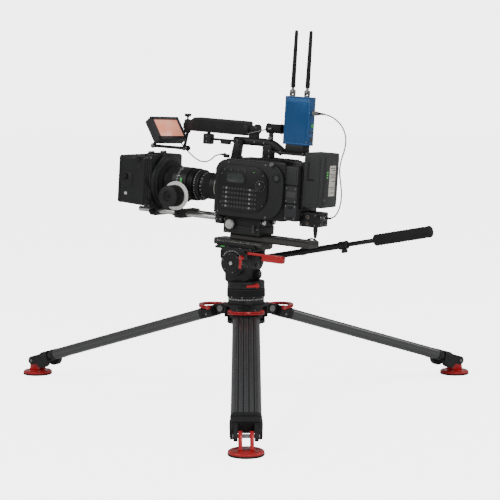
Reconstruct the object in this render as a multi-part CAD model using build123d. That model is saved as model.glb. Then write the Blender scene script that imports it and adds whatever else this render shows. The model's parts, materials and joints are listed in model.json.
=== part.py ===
from build123d import *
import math
import os

# Film camera on a low tripod. Origin on the floor under the pan axis, +Z up, the lens looks along -Y and
# the operator's left is +X. Millimetres.

# --- driving dimensions -------------------------------------------------------------------------------
NOSE_UP = 4.0            # resting tilt of everything above the tilt axis
TILT_Y = -12.0
TILT_Z = 388.0

# tripod
FOOT_REACH = 750.0       # pan axis to the middle of a foot pad
PAD_RADIUS = 45.0
PAD_THICK = 14.0
ANKLE_Z = 46.0           # height of the foot pivot
HINGE_REACH = 72.0       # pan axis to a leg hinge
HINGE_Z = 252.0
PIN_RADIUS = 6.0
LEG_WIDTH = 76.0
LEG_THICK = 30.0
LEG_WALL = 3.0
STAGE_GAP = 0.8
FLUTE_RADIUS = 4.6
FLUTE_RISE = 3.2         # centre of a flute above the tube's face
LEG_YAWS = {"front": -90.0, "left": 30.0, "right": 150.0}
UPPER_END = 632.0        # along the leg from the hinge
FACE_HALF = 27.0         # half width of a tube's flat faces, between its round side rails
INNER_HALF = 25.0        # half width of the lowest stage's tube
ANKLE_AHEAD = 42.0       # foot pivot past the end of the lower stage
LEVER_RADIUS = 51.0
LEVER_ALONG = 25.0       # lever pivot, along the leg
LEVER_RISE = 11.0        # and above the leg's middle
LEVER_LEAN = 20.0
CROWN_TOP = 269.0
CROWN_RADIUS = 62.0
BOWL_RADIUS = 37.5       # 75 mm half ball

# fluid head
DRUM_RADIUS = 54.5
DRUM_TOP = 335.0
HOUSING_HALF = 42.0      # half width of the fixed middle of the head
YOKE_INNER = 43.0
YOKE_OUTER = 60.0
YOKE_RADIUS = 37.0
AXLE_RADIUS = 9.0
YOKE_TOP = 432.0
PLATE_TOP = 451.0
BAR_X = -88.0
BAR_RISE = 10.5          # the pan bar's climb to the rear, level ground
BAR_RADIUS = 9.0
GRIP_RADIUS = 16.5
GRIP_LENGTH = 172.0
BAR_REACH = 552.0        # tilt axis to the end of the grip

# rods and plates, in the level rig
LENS_Z = 593.0
ROD_Z = LENS_Z - 85.0
ROD_HALF_GAP = 30.0
ROD_RADIUS = 7.5
ROD_FRONT = -352.0
ROD_REAR = 70.0
DOVETAIL_TOP = 470.0
DOVETAIL_FRONT = -40.0
DOVETAIL_REAR = 212.0

# camera body
BODY_FRONT = -78.0
BODY_REAR = 144.0
BODY_HALF = 71.0
BODY_LOW = 520.4
BODY_TOP = 683.0
SHELL_WALL = 4.0
EXT_REAR = 182.0
EXT_HALF = 62.0
EXT_LOW = 525.0
EXT_TOP = 677.0
MOUNT_REAR = 190.0
BATTERY_REAR = 252.0
BATTERY_HALF = 49.0
BATTERY_LOW = 568.0
BATTERY_TOP = 717.0

# lens, follow focus and matte box
RING_FRONT = -186.0
RING_REAR = -170.0
LENS_FRONT = -276.0
GEAR_MODULE = 0.8
RING_TEETH = 116
DRIVE_TEETH = 40
KNOB_Y = -200.0
KNOB_END_X = 122.0
WHEEL_RADIUS = 31.0
MATTE_REAR = -268.0
MATTE_FRAME = -284.0
HOOD_REAR = -306.0
HOOD_FRONT = -400.0
HOOD_HALF_X = 80.0
HOOD_HALF_Z = 72.0

# handle, monitor and transmitter
GRIP_FRONT_Y = -213.0
GRIP_REAR_Y = -13.0
GRIP_Z = 766.0
SCREEN_Y = -255.0
SCREEN_X = 60.0
SCREEN_Z = 744.0
SCREEN_W = 112.0
SCREEN_H = 76.0
SCREEN_T = 26.0
SCREEN_LEAN = 37.0       # face above level
SCREEN_TURN = -13.0
BOX_W = 80.0
BOX_T = 35.0
BOX_X = 10.0
BOX_Y = 147.0
BOX_LOW = 733.0
BOX_TOP = 866.0
ANTENNA_LENGTH = 181.0
ANTENNA_YS = {"front": 121.0, "rear": 166.0}

os.makedirs("parts", exist_ok=True)


ON_BASE = (Align.CENTER, Align.CENTER, Align.MIN)


def bar(x0, x1, y0, y1, z0, z1):
    """Box given by its limits."""
    middle = Pos((x0 + x1) / 2, (y0 + y1) / 2, (z0 + z1) / 2)
    return middle * Box(abs(x1 - x0), abs(y1 - y0), abs(z1 - z0))


def rod_x(x0, x1, y, z, radius):
    return Pos((x0 + x1) / 2, y, z) * Rot(0, 90, 0) * Cylinder(radius, abs(x1 - x0))


def rod_y(y0, y1, x, z, radius):
    return Pos(x, (y0 + y1) / 2, z) * Rot(90, 0, 0) * Cylinder(radius, abs(y1 - y0))


def rod_z(z0, z1, x, y, radius):
    return Pos(x, y, (z0 + z1) / 2) * Cylinder(radius, abs(z1 - z0))


def rig(shape):
    """Level rig coordinates to the resting nose-up pose."""
    turn = Pos(0, TILT_Y, TILT_Z) * Rot(-NOSE_UP, 0, 0) * Pos(0, -TILT_Y, -TILT_Z)
    return turn * shape


def group(solids):
    """Separate solids as one part."""
    whole = Part()
    for item in solids:
        whole += item
    return whole


def save(name, shape):
    export_step(shape, f"parts/{name}.step")


# --- tripod -------------------------------------------------------------------------------------------
LEG_RUN = FOOT_REACH - HINGE_REACH
LEG_DROP = HINGE_Z - ANKLE_Z
LEG_SLOPE = math.degrees(math.atan2(LEG_DROP, LEG_RUN))
ANKLE_ALONG = math.hypot(LEG_RUN, LEG_DROP)
LOWER_END = ANKLE_ALONG - ANKLE_AHEAD


def on_leg(name, shape):
    """Leg coordinates (x along the leg from its hinge, y across it, z out of its top face) to the stand."""
    down = Pos(HINGE_REACH, 0, HINGE_Z) * Rot(0, LEG_SLOPE, 0)
    return Rot(0, 0, LEG_YAWS[name]) * down * shape


def at_foot(name, shape):
    """Foot coordinates (x outwards, level, z up from the floor) to the stand."""
    return Rot(0, 0, LEG_YAWS[name]) * Pos(FOOT_REACH, 0, 0) * shape


def crown_casting():
    hub = rod_z(232, CROWN_TOP, 0, 0, CROWN_RADIUS)
    hub = chamfer(hub.edges().group_by(Axis.Z)[-1], 3)
    hub += rod_z(214, 233, 0, 0, CROWN_RADIUS - 8)
    lugs = []
    for yaw in LEG_YAWS.values():
        for side in (-1, 1):
            cheek = bar(30, HINGE_REACH + 13, side * 12, side * 22, HINGE_Z - 15, HINGE_Z + 13)
            cheek = fillet(cheek.edges().filter_by(Axis.Y).sort_by(Axis.X)[-2:], 12)
            lugs.append(Rot(0, 0, yaw) * cheek)
    for lug in lugs:
        hub += lug
    ball = Pos(0, 0, CROWN_TOP) * Sphere(BOWL_RADIUS + 0.3)
    hub -= ball
    hub -= rod_z(200, 240, 0, 0, 30)
    for yaw in LEG_YAWS.values():
        slot = bar(54, HINGE_REACH + 30, -11.9, 11.9, 180, 300)
        hub -= Rot(0, 0, yaw) * slot
        pin = Rot(90, 0, 0) * Cylinder(PIN_RADIUS + 0.02, 60)
        hub -= Rot(0, 0, yaw) * Pos(HINGE_REACH, 0, HINGE_Z) * pin
        pocket = Rot(0, 0, yaw + 60) * bar(44, 66, -12, 12, 222, CROWN_TOP - 6)
        hub -= pocket
    return hub


def hinge_pins():
    pins = []
    for yaw in LEG_YAWS.values():
        shaft = Rot(90, 0, 0) * Cylinder(PIN_RADIUS, 44)
        heads = [Pos(0, side * 23.5, 0) * Rot(90, 0, 0) * Cylinder(8.5, 3) for side in (-1, 1)]
        pin = shaft + heads[0] + heads[1]
        pins.append(Rot(0, 0, yaw) * Pos(HINGE_REACH, 0, HINGE_Z) * pin)
    return group(pins)


def tie_down_knob():
    cap = rod_z(156, 200, 0, 0, 22)
    for step in range(8):
        cap -= Rot(0, 0, step * 45) * rod_z(140, 210, 26.5, 0, 7)
    washer = rod_z(199, 213.6, 0, 0, 37)
    knob = cap + washer
    return knob - rod_z(170, 220, 0, 0, 6.4)


def leg_section(width, thick, wall, x0, x1, flutes):
    """Flat hollow leg tube with round flanks and shallow flutes along both faces."""
    tube = bar(x0, x1, -width / 2, width / 2, -thick / 2, thick / 2)
    tube = fillet(tube.edges().filter_by(Axis.X), thick * 0.42)
    core = bar(x0 - 1, x1 + 1, -width / 2 + wall, width / 2 - wall, -thick / 2 + wall, thick / 2 - wall)
    core = fillet(core.edges().filter_by(Axis.X), (thick - 2 * wall) * 0.42)
    tube -= core
    for offset_y in flutes:
        for side in (-1, 1):
            groove = Rot(0, 90, 0) * Cylinder(FLUTE_RADIUS, x1 - x0 + 2)
            tube -= Pos((x0 + x1) / 2, offset_y, side * (thick / 2 + FLUTE_RISE)) * groove
    return tube


def leg_shoulder():
    """Casting between the crown and the upper tube, with the tongue that the hinge pin goes through."""
    tongue = rod_y(-11.2, 11.2, 0, 0, 13) + bar(0, 30, -11.2, 11.2, -13, 13)
    block = bar(24, 60, -LEG_WIDTH / 2, LEG_WIDTH / 2, -15.5, 15.5)
    block = fillet(block.edges().filter_by(Axis.X), 12)
    plug = bar(60, 84, -LEG_WIDTH / 2 + LEG_WALL + 0.1, LEG_WIDTH / 2 - LEG_WALL - 0.1, -11.9, 11.9)
    plug = fillet(plug.edges().filter_by(Axis.X), 9.9)
    body = tongue + block + plug
    body -= Rot(90, 0, 0) * Cylinder(PIN_RADIUS + 0.05, 60)
    return body


def brake_lever():
    """U-shaped lever round the shoulder, rising over the tube, on a boss at each rear end."""
    arc = Cylinder(LEVER_RADIUS, 9) - Cylinder(LEVER_RADIUS - 11, 12)
    arc = arc & bar(0, 100, -60, 60, -10, 10)
    for side in (-1, 1):
        arc += rod_y(side * (LEVER_RADIUS - 11), side * LEVER_RADIUS, 0, 0, 6.5)
    return Pos(LEVER_ALONG, 0, LEVER_RISE) * Rot(0, -LEVER_LEAN, 0) * arc


def upper_tube():
    """Two fluted faces bonded to two round side rails."""
    tube = leg_section(LEG_WIDTH, LEG_THICK, LEG_WALL, 60.2, UPPER_END, (-20, -7, 7, 20))
    pieces = []
    for side in (-1, 1):
        rail = tube & bar(50, UPPER_END + 10, side * FACE_HALF, side * 50, -20, 20)
        face = tube & bar(50, UPPER_END + 10, -FACE_HALF, FACE_HALF, side * 2, side * 20)
        pieces += rail.solids() + face.solids()
    return Compound(children=pieces)


def middle_tube():
    width = LEG_WIDTH - 2 * LEG_WALL - 2 * STAGE_GAP
    thick = LEG_THICK - 2 * LEG_WALL - 2 * STAGE_GAP - 2
    return leg_section(width, thick, 2.6, 90, UPPER_END + 8, ())


def lower_stage():
    thick = LEG_THICK - 2 * LEG_WALL - 4 * STAGE_GAP - 7.2
    cap_start = UPPER_END + 9
    tube = bar(96, cap_start, -INNER_HALF, INNER_HALF, -thick / 2, thick / 2)
    tube = fillet(tube.edges().filter_by(Axis.X), thick * 0.42)
    tube -= bar(90, UPPER_END, -INNER_HALF + 8, INNER_HALF - 8, -thick / 2 + 2, thick / 2 - 2)
    cap = bar(cap_start, LOWER_END, -LEG_WIDTH / 2 - 2, LEG_WIDTH / 2 + 2, -16, 16)
    cap = fillet(cap.edges().filter_by(Axis.X), 12)
    arms = []
    for side in (-1, 1):
        arm = bar(LOWER_END - 24, ANKLE_ALONG, side * 20, side * 30, -13, 13)
        arm += Pos(ANKLE_ALONG, side * 25, 0) * Rot(90, 0, 0) * Cylinder(13, 10)
        arm += rod_y(side * 21, side * 39, LOWER_END - 2, -9, 22)
        arms.append(arm)
    cap = cap + arms[0] + arms[1]
    cap -= Pos(ANKLE_ALONG, 0, 0) * Rot(90, 0, 0) * Cylinder(5.05, 90)
    return Compound(children=tube.solids() + cap.solids())


def foot_pad():
    """Round pad with a two-eared clevis and the ankle pin."""
    disc = rod_z(0, PAD_THICK, 0, 0, PAD_RADIUS)
    disc = chamfer(disc.edges().group_by(Axis.Z)[-1], 4)
    for side in (-1, 1):
        ear = bar(-14, 14, side * 9, side * 19, PAD_THICK - 2, ANKLE_Z)
        ear += Pos(0, side * 14, ANKLE_Z) * Rot(90, 0, 0) * Cylinder(14, 10)
        disc += ear
    disc += Pos(0, 0, ANKLE_Z) * Rot(90, 0, 0) * Cylinder(5, 66)
    return disc


def make_tripod():
    save("crown_casting", crown_casting())
    save("hinge_pins", hinge_pins())
    save("tie_down_knob", tie_down_knob())
    for name in LEG_YAWS:
        save(f"{name}_leg_shoulder", on_leg(name, leg_shoulder()))
        save(f"{name}_brake_lever", on_leg(name, brake_lever()))
        save(f"{name}_upper_tube", on_leg(name, upper_tube()))
        save(f"{name}_middle_tube", on_leg(name, middle_tube()))
        save(f"{name}_lower_stage", on_leg(name, lower_stage()))
        save(f"{name}_foot_pad", at_foot(name, foot_pad()))


# --- fluid head ---------------------------------------------------------------------------------------
def pan_base():
    """Half ball, neck and the fixed drum that the head pans on."""
    ball = Pos(0, 0, CROWN_TOP) * Sphere(BOWL_RADIUS)
    ball = ball & bar(-60, 60, -60, 60, 225, CROWN_TOP + 0.3)
    collar = rod_z(CROWN_TOP + 0.3, 288, 0, 0, DRUM_RADIUS - 3)
    stem = rod_z(176, 240, 0, 0, 6)
    core = rod_z(287, 312, 0, 0, DRUM_RADIUS - 10)
    return ball + collar + stem + core + rod_z(311, 318, 0, 0, 16)


def pan_drag_ring():
    ring = rod_z(288.5, 313, 0, 0, DRUM_RADIUS)
    for step in range(36):
        ring -= Rot(0, 0, step * 10) * rod_z(280, 320, DRUM_RADIUS + 1.6, 0, 3)
    return ring - rod_z(280, 320, 0, 0, DRUM_RADIUS - 9.5)


def pan_housing():
    """Rotating middle of the head: a round skirt and a block with the tilt bearing through it."""
    skirt = rod_z(313.5, DRUM_TOP, 0, 0, DRUM_RADIUS - 1)
    block = bar(-HOUSING_HALF, HOUSING_HALF, TILT_Y - 34, TILT_Y + 34, DRUM_TOP - 2, TILT_Z)
    drum = rod_x(-HOUSING_HALF, HOUSING_HALF, TILT_Y, TILT_Z, 36)
    block = fillet(block.edges().filter_by(Axis.Z), 10)
    body = skirt + block + drum
    body -= rod_x(-60, 60, TILT_Y, TILT_Z, AXLE_RADIUS + 0.05)
    body -= rod_z(300, 320, 0, 0, 16.4)
    return body


def pan_brake_lever():
    hub = rod_x(DRUM_RADIUS - 0.6, DRUM_RADIUS + 10, 0, 324, 7)
    arm = bar(DRUM_RADIUS + 4, DRUM_RADIUS + 9, -36, 0, 320, 328)
    return Rot(0, 0, 60) * (hub + arm)


def tilt_axle():
    return rod_x(-YOKE_OUTER + 4, YOKE_OUTER - 4, TILT_Y, TILT_Z, AXLE_RADIUS)


def tilt_yoke():
    """Platform with a cheek on each side, fixed to the tilt axle."""
    top = bar(-YOKE_OUTER, YOKE_OUTER, TILT_Y - 62, TILT_Y + 62, TILT_Z + 37.5, YOKE_TOP)
    top = fillet(top.edges().filter_by(Axis.Z), 10)
    body = top
    for side in (-1, 1):
        body += bar(side * 32.5, side * 48, TILT_Y - 60, TILT_Y + 60, YOKE_TOP - 1, YOKE_TOP + 11)
        cheek = rod_x(side * YOKE_INNER, side * YOKE_OUTER, TILT_Y, TILT_Z, YOKE_RADIUS)
        cheek += bar(side * YOKE_INNER, side * YOKE_OUTER, TILT_Y - 40, TILT_Y + 40, TILT_Z + 8, TILT_Z + 40)
        body += cheek
        cover = rod_x(side * YOKE_OUTER, side * (YOKE_OUTER + 4), TILT_Y, TILT_Z, 29)
        body += cover
    body += rod_x(BAR_X - 11, -YOKE_OUTER, TILT_Y, TILT_Z, 6)
    return body - rod_x(-YOKE_OUTER + 4, YOKE_OUTER - 4, TILT_Y, TILT_Z, AXLE_RADIUS)


def tilt_brake_lever():
    hub = rod_x(YOKE_OUTER + 0.4, YOKE_OUTER + 12, TILT_Y + 33, TILT_Z + 19, 7)
    arm = bar(YOKE_OUTER + 7, YOKE_OUTER + 11, TILT_Y + 29, TILT_Y + 37, TILT_Z - 12, TILT_Z + 19)
    return hub + arm


def counterbalance_knob():
    return rod_y(TILT_Y + 34.4, TILT_Y + 50, -14, 352, 14)


def plate_lock_lever():
    pivot = rod_z(YOKE_TOP - 15, YOKE_TOP - 6.9, YOKE_OUTER - 12, TILT_Y + 51, 9)
    arm = bar(YOKE_OUTER - 18, YOKE_OUTER - 6, TILT_Y + 51, TILT_Y + 118, YOKE_TOP - 15, YOKE_TOP - 8)
    paddle = bar(YOKE_OUTER - 20, YOKE_OUTER - 4, TILT_Y + 92, TILT_Y + 160, YOKE_TOP - 29, YOKE_TOP - 8)
    return pivot + arm + fillet(paddle.edges().filter_by(Axis.X), 6)


def slide_plate():
    plate = bar(-32, 32, TILT_Y - 80, TILT_Y + 78, YOKE_TOP + 0.4, PLATE_TOP)
    return chamfer(plate.edges().filter_by(Axis.Y), 2)


def pan_bar():
    """Rosette clamp beside the yoke and the bar that climbs to the rear, in level rig coordinates."""
    rise = Pos(BAR_X, TILT_Y, TILT_Z) * Rot(BAR_RISE + NOSE_UP, 0, 0)
    clamp = rod_x(BAR_X - 12, -YOKE_OUTER - 4.4, TILT_Y, TILT_Z, 16)
    bore = rod_x(BAR_X - 20, -YOKE_OUTER, TILT_Y, TILT_Z, 6.06)
    tube = rise * rod_y(8, BAR_REACH - GRIP_LENGTH - 90, 0, 0, BAR_RADIUS)
    tube += rise * rod_y(BAR_REACH - GRIP_LENGTH - 110, BAR_REACH - 14, 0, 0, BAR_RADIUS - 2.5)
    tube += rise * rod_y(BAR_REACH - GRIP_LENGTH - 112, BAR_REACH - GRIP_LENGTH - 84, 0, 0, BAR_RADIUS + 3)
    grip = rise * rod_y(BAR_REACH - GRIP_LENGTH, BAR_REACH, 0, 0, GRIP_RADIUS)
    grip = fillet(grip.edges().filter_by(GeomType.CIRCLE), 4)
    grip -= rise * rod_y(BAR_REACH - GRIP_LENGTH - 40, BAR_REACH - 14, 0, 0, BAR_RADIUS - 2.5)
    return clamp + tube - bore, grip


def make_head():
    save("pan_base", pan_base())
    save("pan_drag_ring", pan_drag_ring())
    save("pan_housing", pan_housing())
    save("pan_brake_lever", pan_brake_lever())
    save("tilt_axle", rig(tilt_axle()))
    save("tilt_yoke", rig(tilt_yoke()))
    save("tilt_brake_lever", rig(tilt_brake_lever()))
    save("counterbalance_knob", counterbalance_knob())
    save("plate_lock_lever", rig(plate_lock_lever()))
    save("slide_plate", rig(slide_plate()))
    tube, grip = pan_bar()
    save("pan_bar_tube", rig(tube))
    save("pan_bar_grip", rig(grip))


# --- rods, plates and camera, all in level rig coordinates --------------------------------------------
def rod_bores(y0, y1):
    return group(rod_y(y0, y1, side * ROD_HALF_GAP, ROD_Z, ROD_RADIUS + 0.05) for side in (-1, 1))


def dovetail_plate():
    plate = bar(-32, 32, DOVETAIL_FRONT, DOVETAIL_REAR, PLATE_TOP, DOVETAIL_TOP)
    return chamfer(plate.edges().filter_by(Axis.Y), 5)


def bridge_block():
    """Base plate under the camera, with a cross bar at the front, bored for the two rods."""
    block = bar(-44, 44, -58, 62, DOVETAIL_TOP, BODY_LOW - 0.4)
    block = fillet(block.edges().filter_by(Axis.Z), 6)
    front = bar(-46, 46, -84, -60, ROD_Z - 15, ROD_Z + 11)
    front = fillet(front.edges().filter_by(Axis.Y), 8)
    return block + front + bar(-20, 20, -62, -56, ROD_Z - 12, ROD_Z + 8) - rod_bores(-100, 80)


def bridge_lock_knob():
    knob = rod_x(45, 62, -29, 497, 14)
    for step in range(18):
        notch = Rot(step * 20, 0, 0) * Pos(0, 15.2, 0) * rod_x(40, 70, 0, 0, 2)
        knob -= Pos(0, -29, 497) * notch
    return knob


def support_rods():
    rods = [rod_y(ROD_FRONT, ROD_REAR, side * ROD_HALF_GAP, ROD_Z, ROD_RADIUS) for side in (-1, 1)]
    return group(rods)


def camera_body():
    """Hollow body with a lens mount, a socket and a rear window that the extension covers."""
    shell = bar(-BODY_HALF, BODY_HALF, BODY_FRONT, BODY_REAR, BODY_LOW, BODY_TOP)
    shell = fillet(shell.edges().filter_by(Axis.Y), 8)
    half = BODY_HALF - SHELL_WALL
    front, rear = BODY_FRONT + SHELL_WALL, BODY_REAR - SHELL_WALL
    shell -= bar(-half, half, front, rear, BODY_LOW + SHELL_WALL, BODY_TOP - SHELL_WALL)
    shell -= bar(-54, 54, BODY_REAR - 10, BODY_REAR + 10, EXT_LOW + 10, EXT_TOP - 10)
    throat = rod_y(BODY_FRONT - 10, BODY_FRONT + 10, 0, LENS_Z, 30)
    shell -= throat
    mount = rod_y(BODY_FRONT - 6, BODY_FRONT + 1, 0, LENS_Z, 41) - throat
    socket = rod_y(-70, -52, 40, BODY_TOP + 6, 5) + bar(34, 46, -68, -54, BODY_TOP - 2, BODY_TOP + 6)
    return shell + mount + socket


def side_panel():
    """Round-ended control panel on the operator's side."""
    panel = bar(BODY_HALF, BODY_HALF + 7, -62, 96, 538, 664)
    panel = fillet(panel.edges().filter_by(Axis.X), 30)
    return panel


def control_buttons():
    """Menu keys and transport keys in rows, in shallow contact with the panel."""
    keys = []
    for row in range(3):
        for column in range(6):
            y = -30 + column * 16
            z = 556 + row * 14
            keys.append(bar(BODY_HALF + 7, BODY_HALF + 9, y - 4.5, y + 4.5, z - 3, z + 3))
    for column in range(4):
        keys.append(rod_x(BODY_HALF + 7, BODY_HALF + 9, -34 + column * 22, 648, 5))
    keys.append(rod_x(BODY_HALF + 7, BODY_HALF + 12, 74, 614, 11))
    return group(keys)


def record_button():
    return rod_x(BODY_HALF - 3.4, BODY_HALF + 4, 120, 640, 8)


def camera_shell_bore():
    return rod_x(BODY_HALF - 5, BODY_HALF + 1, 120, 640, 8.5)


def extension_unit():
    """Rear recorder block, battery plate and connector block."""
    block = bar(-EXT_HALF, EXT_HALF, BODY_REAR + 0.4, EXT_REAR, EXT_LOW, EXT_TOP)
    block = fillet(block.edges().filter_by(Axis.Y), 6)
    block -= bar(-EXT_HALF + 4, EXT_HALF - 4, BODY_REAR - 5, EXT_REAR - 4, EXT_LOW + 4, EXT_TOP - 4)
    plate = bar(-45, 45, EXT_REAR, MOUNT_REAR, 560, 690)
    ports = bar(-34, 34, EXT_REAR - 3, 234, 512, 552)
    connector = rod_y(233, 248, 10, 540, 5.5)
    return block + plate + ports + connector


def battery():
    pack = bar(-BATTERY_HALF, BATTERY_HALF, MOUNT_REAR + 0.4, BATTERY_REAR, BATTERY_LOW, BATTERY_TOP)
    return chamfer(pack.edges().filter_by(Axis.Z).sort_by(Axis.Y)[-2:], 8)


def handle_frame():
    """Top casting with its posts, the microphone holder and the transmitter shelf."""
    beam = bar(-14, 14, -50, 48, 716, 745)
    beam = fillet(beam.edges().filter_by(Axis.Y), 8)
    front_post = bar(-12, 12, -66, -46, BODY_TOP, 722) + bar(-12, 12, -60, -40, 712, 734)
    rear_post = bar(-14, 14, 36, 66, BODY_TOP, 728)
    core = rod_y(GRIP_FRONT_Y, GRIP_REAR_Y + 26, 0, GRIP_Z, 9) + bar(-9, 9, -12, 14, 740, 762)
    trigger = bar(-11, 11, -161, -135, 712, 744.6)
    trigger = fillet(trigger.edges().filter_by(Axis.Y), 6) + bar(-4, 4, -152, -144, 742, 760)
    holder = rod_y(44, 90, 0, 772, 13) - rod_y(40, 100, 0, 772, 10)
    holder += bar(-4, 4, 50, 62, 724, 761)
    shelf = bar(-26, 46, BOX_Y - 46, BOX_Y + 40, BODY_TOP + 22, BODY_TOP + 28)
    shelf += bar(-20, 20, 60, BOX_Y - 40, BODY_TOP + 22, BODY_TOP + 28)
    shelf += bar(-10, 30, BOX_Y - 30, BOX_Y + 28, BODY_TOP + 27, BOX_LOW)
    return beam + front_post + rear_post + core + trigger + holder + shelf


def handle_grip():
    grip = bar(-17, 17, GRIP_FRONT_Y, GRIP_REAR_Y, GRIP_Z - 20, GRIP_Z + 20)
    grip = fillet(grip.edges().filter_by(Axis.Y), 15)
    grip -= rod_y(GRIP_FRONT_Y - 5, GRIP_REAR_Y + 5, 0, GRIP_Z, 9)
    return grip - bar(-4.2, 4.2, -152.2, -143.8, 740, 760) - bar(-9.2, 9.2, -12.2, 20, 740, 762)


def transmitter_box():
    side, reach = BOX_T / 2, BOX_W / 2
    box = bar(BOX_X - side, BOX_X + side, BOX_Y - reach, BOX_Y + reach, BOX_LOW, BOX_TOP)
    box = fillet(box.edges().filter_by(Axis.Z), 5)
    box -= bar(BOX_X - 14, BOX_X + 14, BOX_Y - 36, BOX_Y + 36, BOX_LOW - 1, BOX_TOP - 5)
    connector = rod_y(BOX_Y + BOX_W / 2 - 1, BOX_Y + BOX_W / 2 + 18, BOX_X, 823, 5.5)
    box += connector
    for y in ANTENNA_YS.values():
        stud = rod_z(BOX_TOP - 1, BOX_TOP + 4, BOX_X, y, 6)
        for side in (-1, 1):
            stud += bar(BOX_X - 6, BOX_X + 6, y + side * 4.4, y + side * 7, BOX_TOP, BOX_TOP + 18)
        box += stud
    return box


def antenna(y):
    """Tapered aerial on a knuckle that folds sideways."""
    pivot = BOX_TOP + 12
    knuckle = rod_y(y - 4, y + 4, BOX_X, pivot, 6)
    stem = rod_z(pivot, pivot + 14, BOX_X, y, 4)
    mast = Pos(BOX_X, y, pivot + 12) * Cone(6.4, 4.6, ANTENNA_LENGTH - 24, align=ON_BASE)
    return knuckle + stem + mast


SCREEN_PLACE = Pos(SCREEN_X, SCREEN_Y, SCREEN_Z) * Rot(0, 0, SCREEN_TURN) * Rot(SCREEN_LEAN, 0, 0)
PIVOT_BACK = SCREEN_T / 2 + 12


def monitor_mount():
    """Clamp on the front of the handle, a bent arm and the barrel that carries the monitor."""
    barrel_place = SCREEN_PLACE * Pos(0, -PIVOT_BACK, 0)
    barrel = barrel_place * Rot(0, 90, 0) * Cylinder(8, 22)
    hole = barrel_place * Rot(0, 90, 0) * Cylinder(3.05, 40)
    hub = barrel_place.position
    clamp = bar(-7, 7, GRIP_FRONT_Y - 17, GRIP_FRONT_Y, GRIP_Z - 28, GRIP_Z + 12)
    clamp = fillet(clamp.edges().filter_by(Axis.X), 6)
    knob = rod_z(GRIP_Z + 10, GRIP_Z + 22, 0, GRIP_FRONT_Y - 9, 3)
    knob += rod_x(-14, 14, GRIP_FRONT_Y - 9, GRIP_Z + 24, 4)
    mount = clamp + knob + barrel
    start = Vector(-5, GRIP_FRONT_Y - 9, GRIP_Z - 20)
    bends = (start, Vector(-18, -240, 692), Vector(50, -304, 696), hub)
    for start, end in zip(bends, bends[1:]):
        mount += Plane(origin=start, z_dir=end - start) * Cylinder(5, (end - start).length, align=ON_BASE)
    for joint in bends[1:-1]:
        mount += Pos(joint.X, joint.Y, joint.Z) * Sphere(7)
    return mount - hole


def monitor_case():
    case = Box(SCREEN_W, SCREEN_T, SCREEN_H)
    case = fillet(case.edges().filter_by(Axis.Y), 5)
    case -= Pos(0, SCREEN_T / 2, 0) * Box(SCREEN_W - 12, 3, SCREEN_H - 12)
    for side in (-1, 1):
        ear = Pos(side * 14.5, -PIVOT_BACK, 0) * Rot(0, 90, 0) * Cylinder(8, 5)
        ear += Pos(side * 14.5, -PIVOT_BACK + 7, 0) * Box(5, 14, 16)
        case += ear
    case += Pos(0, -PIVOT_BACK, 0) * Rot(0, 90, 0) * Cylinder(3, 34)
    case += Pos(-25, -PIVOT_BACK, 0) * Rot(0, 90, 0) * Cylinder(4, 18)
    return SCREEN_PLACE * case


def monitor_screen():
    return SCREEN_PLACE * Pos(0, SCREEN_T / 2 - 0.9, 0) * Box(SCREEN_W - 12.4, 1.2, SCREEN_H - 12.4)


# --- lens, follow focus and matte box -----------------------------------------------------------------
def gear_profile(teeth, module):
    """Straight-flanked tooth outline, a little thin for backlash."""
    root = teeth * module / 2 - module
    tip = teeth * module / 2 + 0.8 * module
    step = 2 * math.pi / teeth
    points = []
    for tooth in range(teeth):
        middle = tooth * step
        for share, radius in ((-0.33, root), (-0.12, tip), (0.12, tip), (0.33, root)):
            angle = middle + share * step
            points.append((radius * math.cos(angle), radius * math.sin(angle)))
    return make_face(Polyline(*points, close=True))


def gear_along_y(teeth, module, y0, y1, turn):
    gear = extrude(gear_profile(teeth, module), y1 - y0)
    return Pos(0, y1, 0) * Rot(90, 0, 0) * Rot(0, 0, turn) * gear


def lens_barrel():
    """Stepped hollow barrel, open through the middle."""
    steps = (
        (BODY_FRONT - 6.4, -92, 40), (-92, -150, 36.5), (-150, -166, 43.5), (-166, -190, 40),
        (-190, LENS_FRONT, 47.5),
    )
    barrel = rod_y(steps[0][0], steps[0][1], 0, LENS_Z, steps[0][2])
    for rear, front, radius in steps[1:]:
        barrel += rod_y(front, rear, 0, LENS_Z, radius)
    barrel -= rod_y(BODY_FRONT, -236, 0, LENS_Z, 31)
    return barrel - rod_y(-235, LENS_FRONT - 5, 0, LENS_Z, 42)


def focus_ring():
    ring = Pos(0, 0, LENS_Z) * gear_along_y(RING_TEETH, GEAR_MODULE, RING_FRONT, RING_REAR, 0)
    return ring - rod_y(RING_FRONT - 5, RING_REAR + 5, 0, LENS_Z, 40.08)


def lens_glass():
    dome = Pos(0, -140, LENS_Z) * Sphere(118)
    return rod_y(-235, -262, 0, LENS_Z, 41.9) & dome


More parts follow.
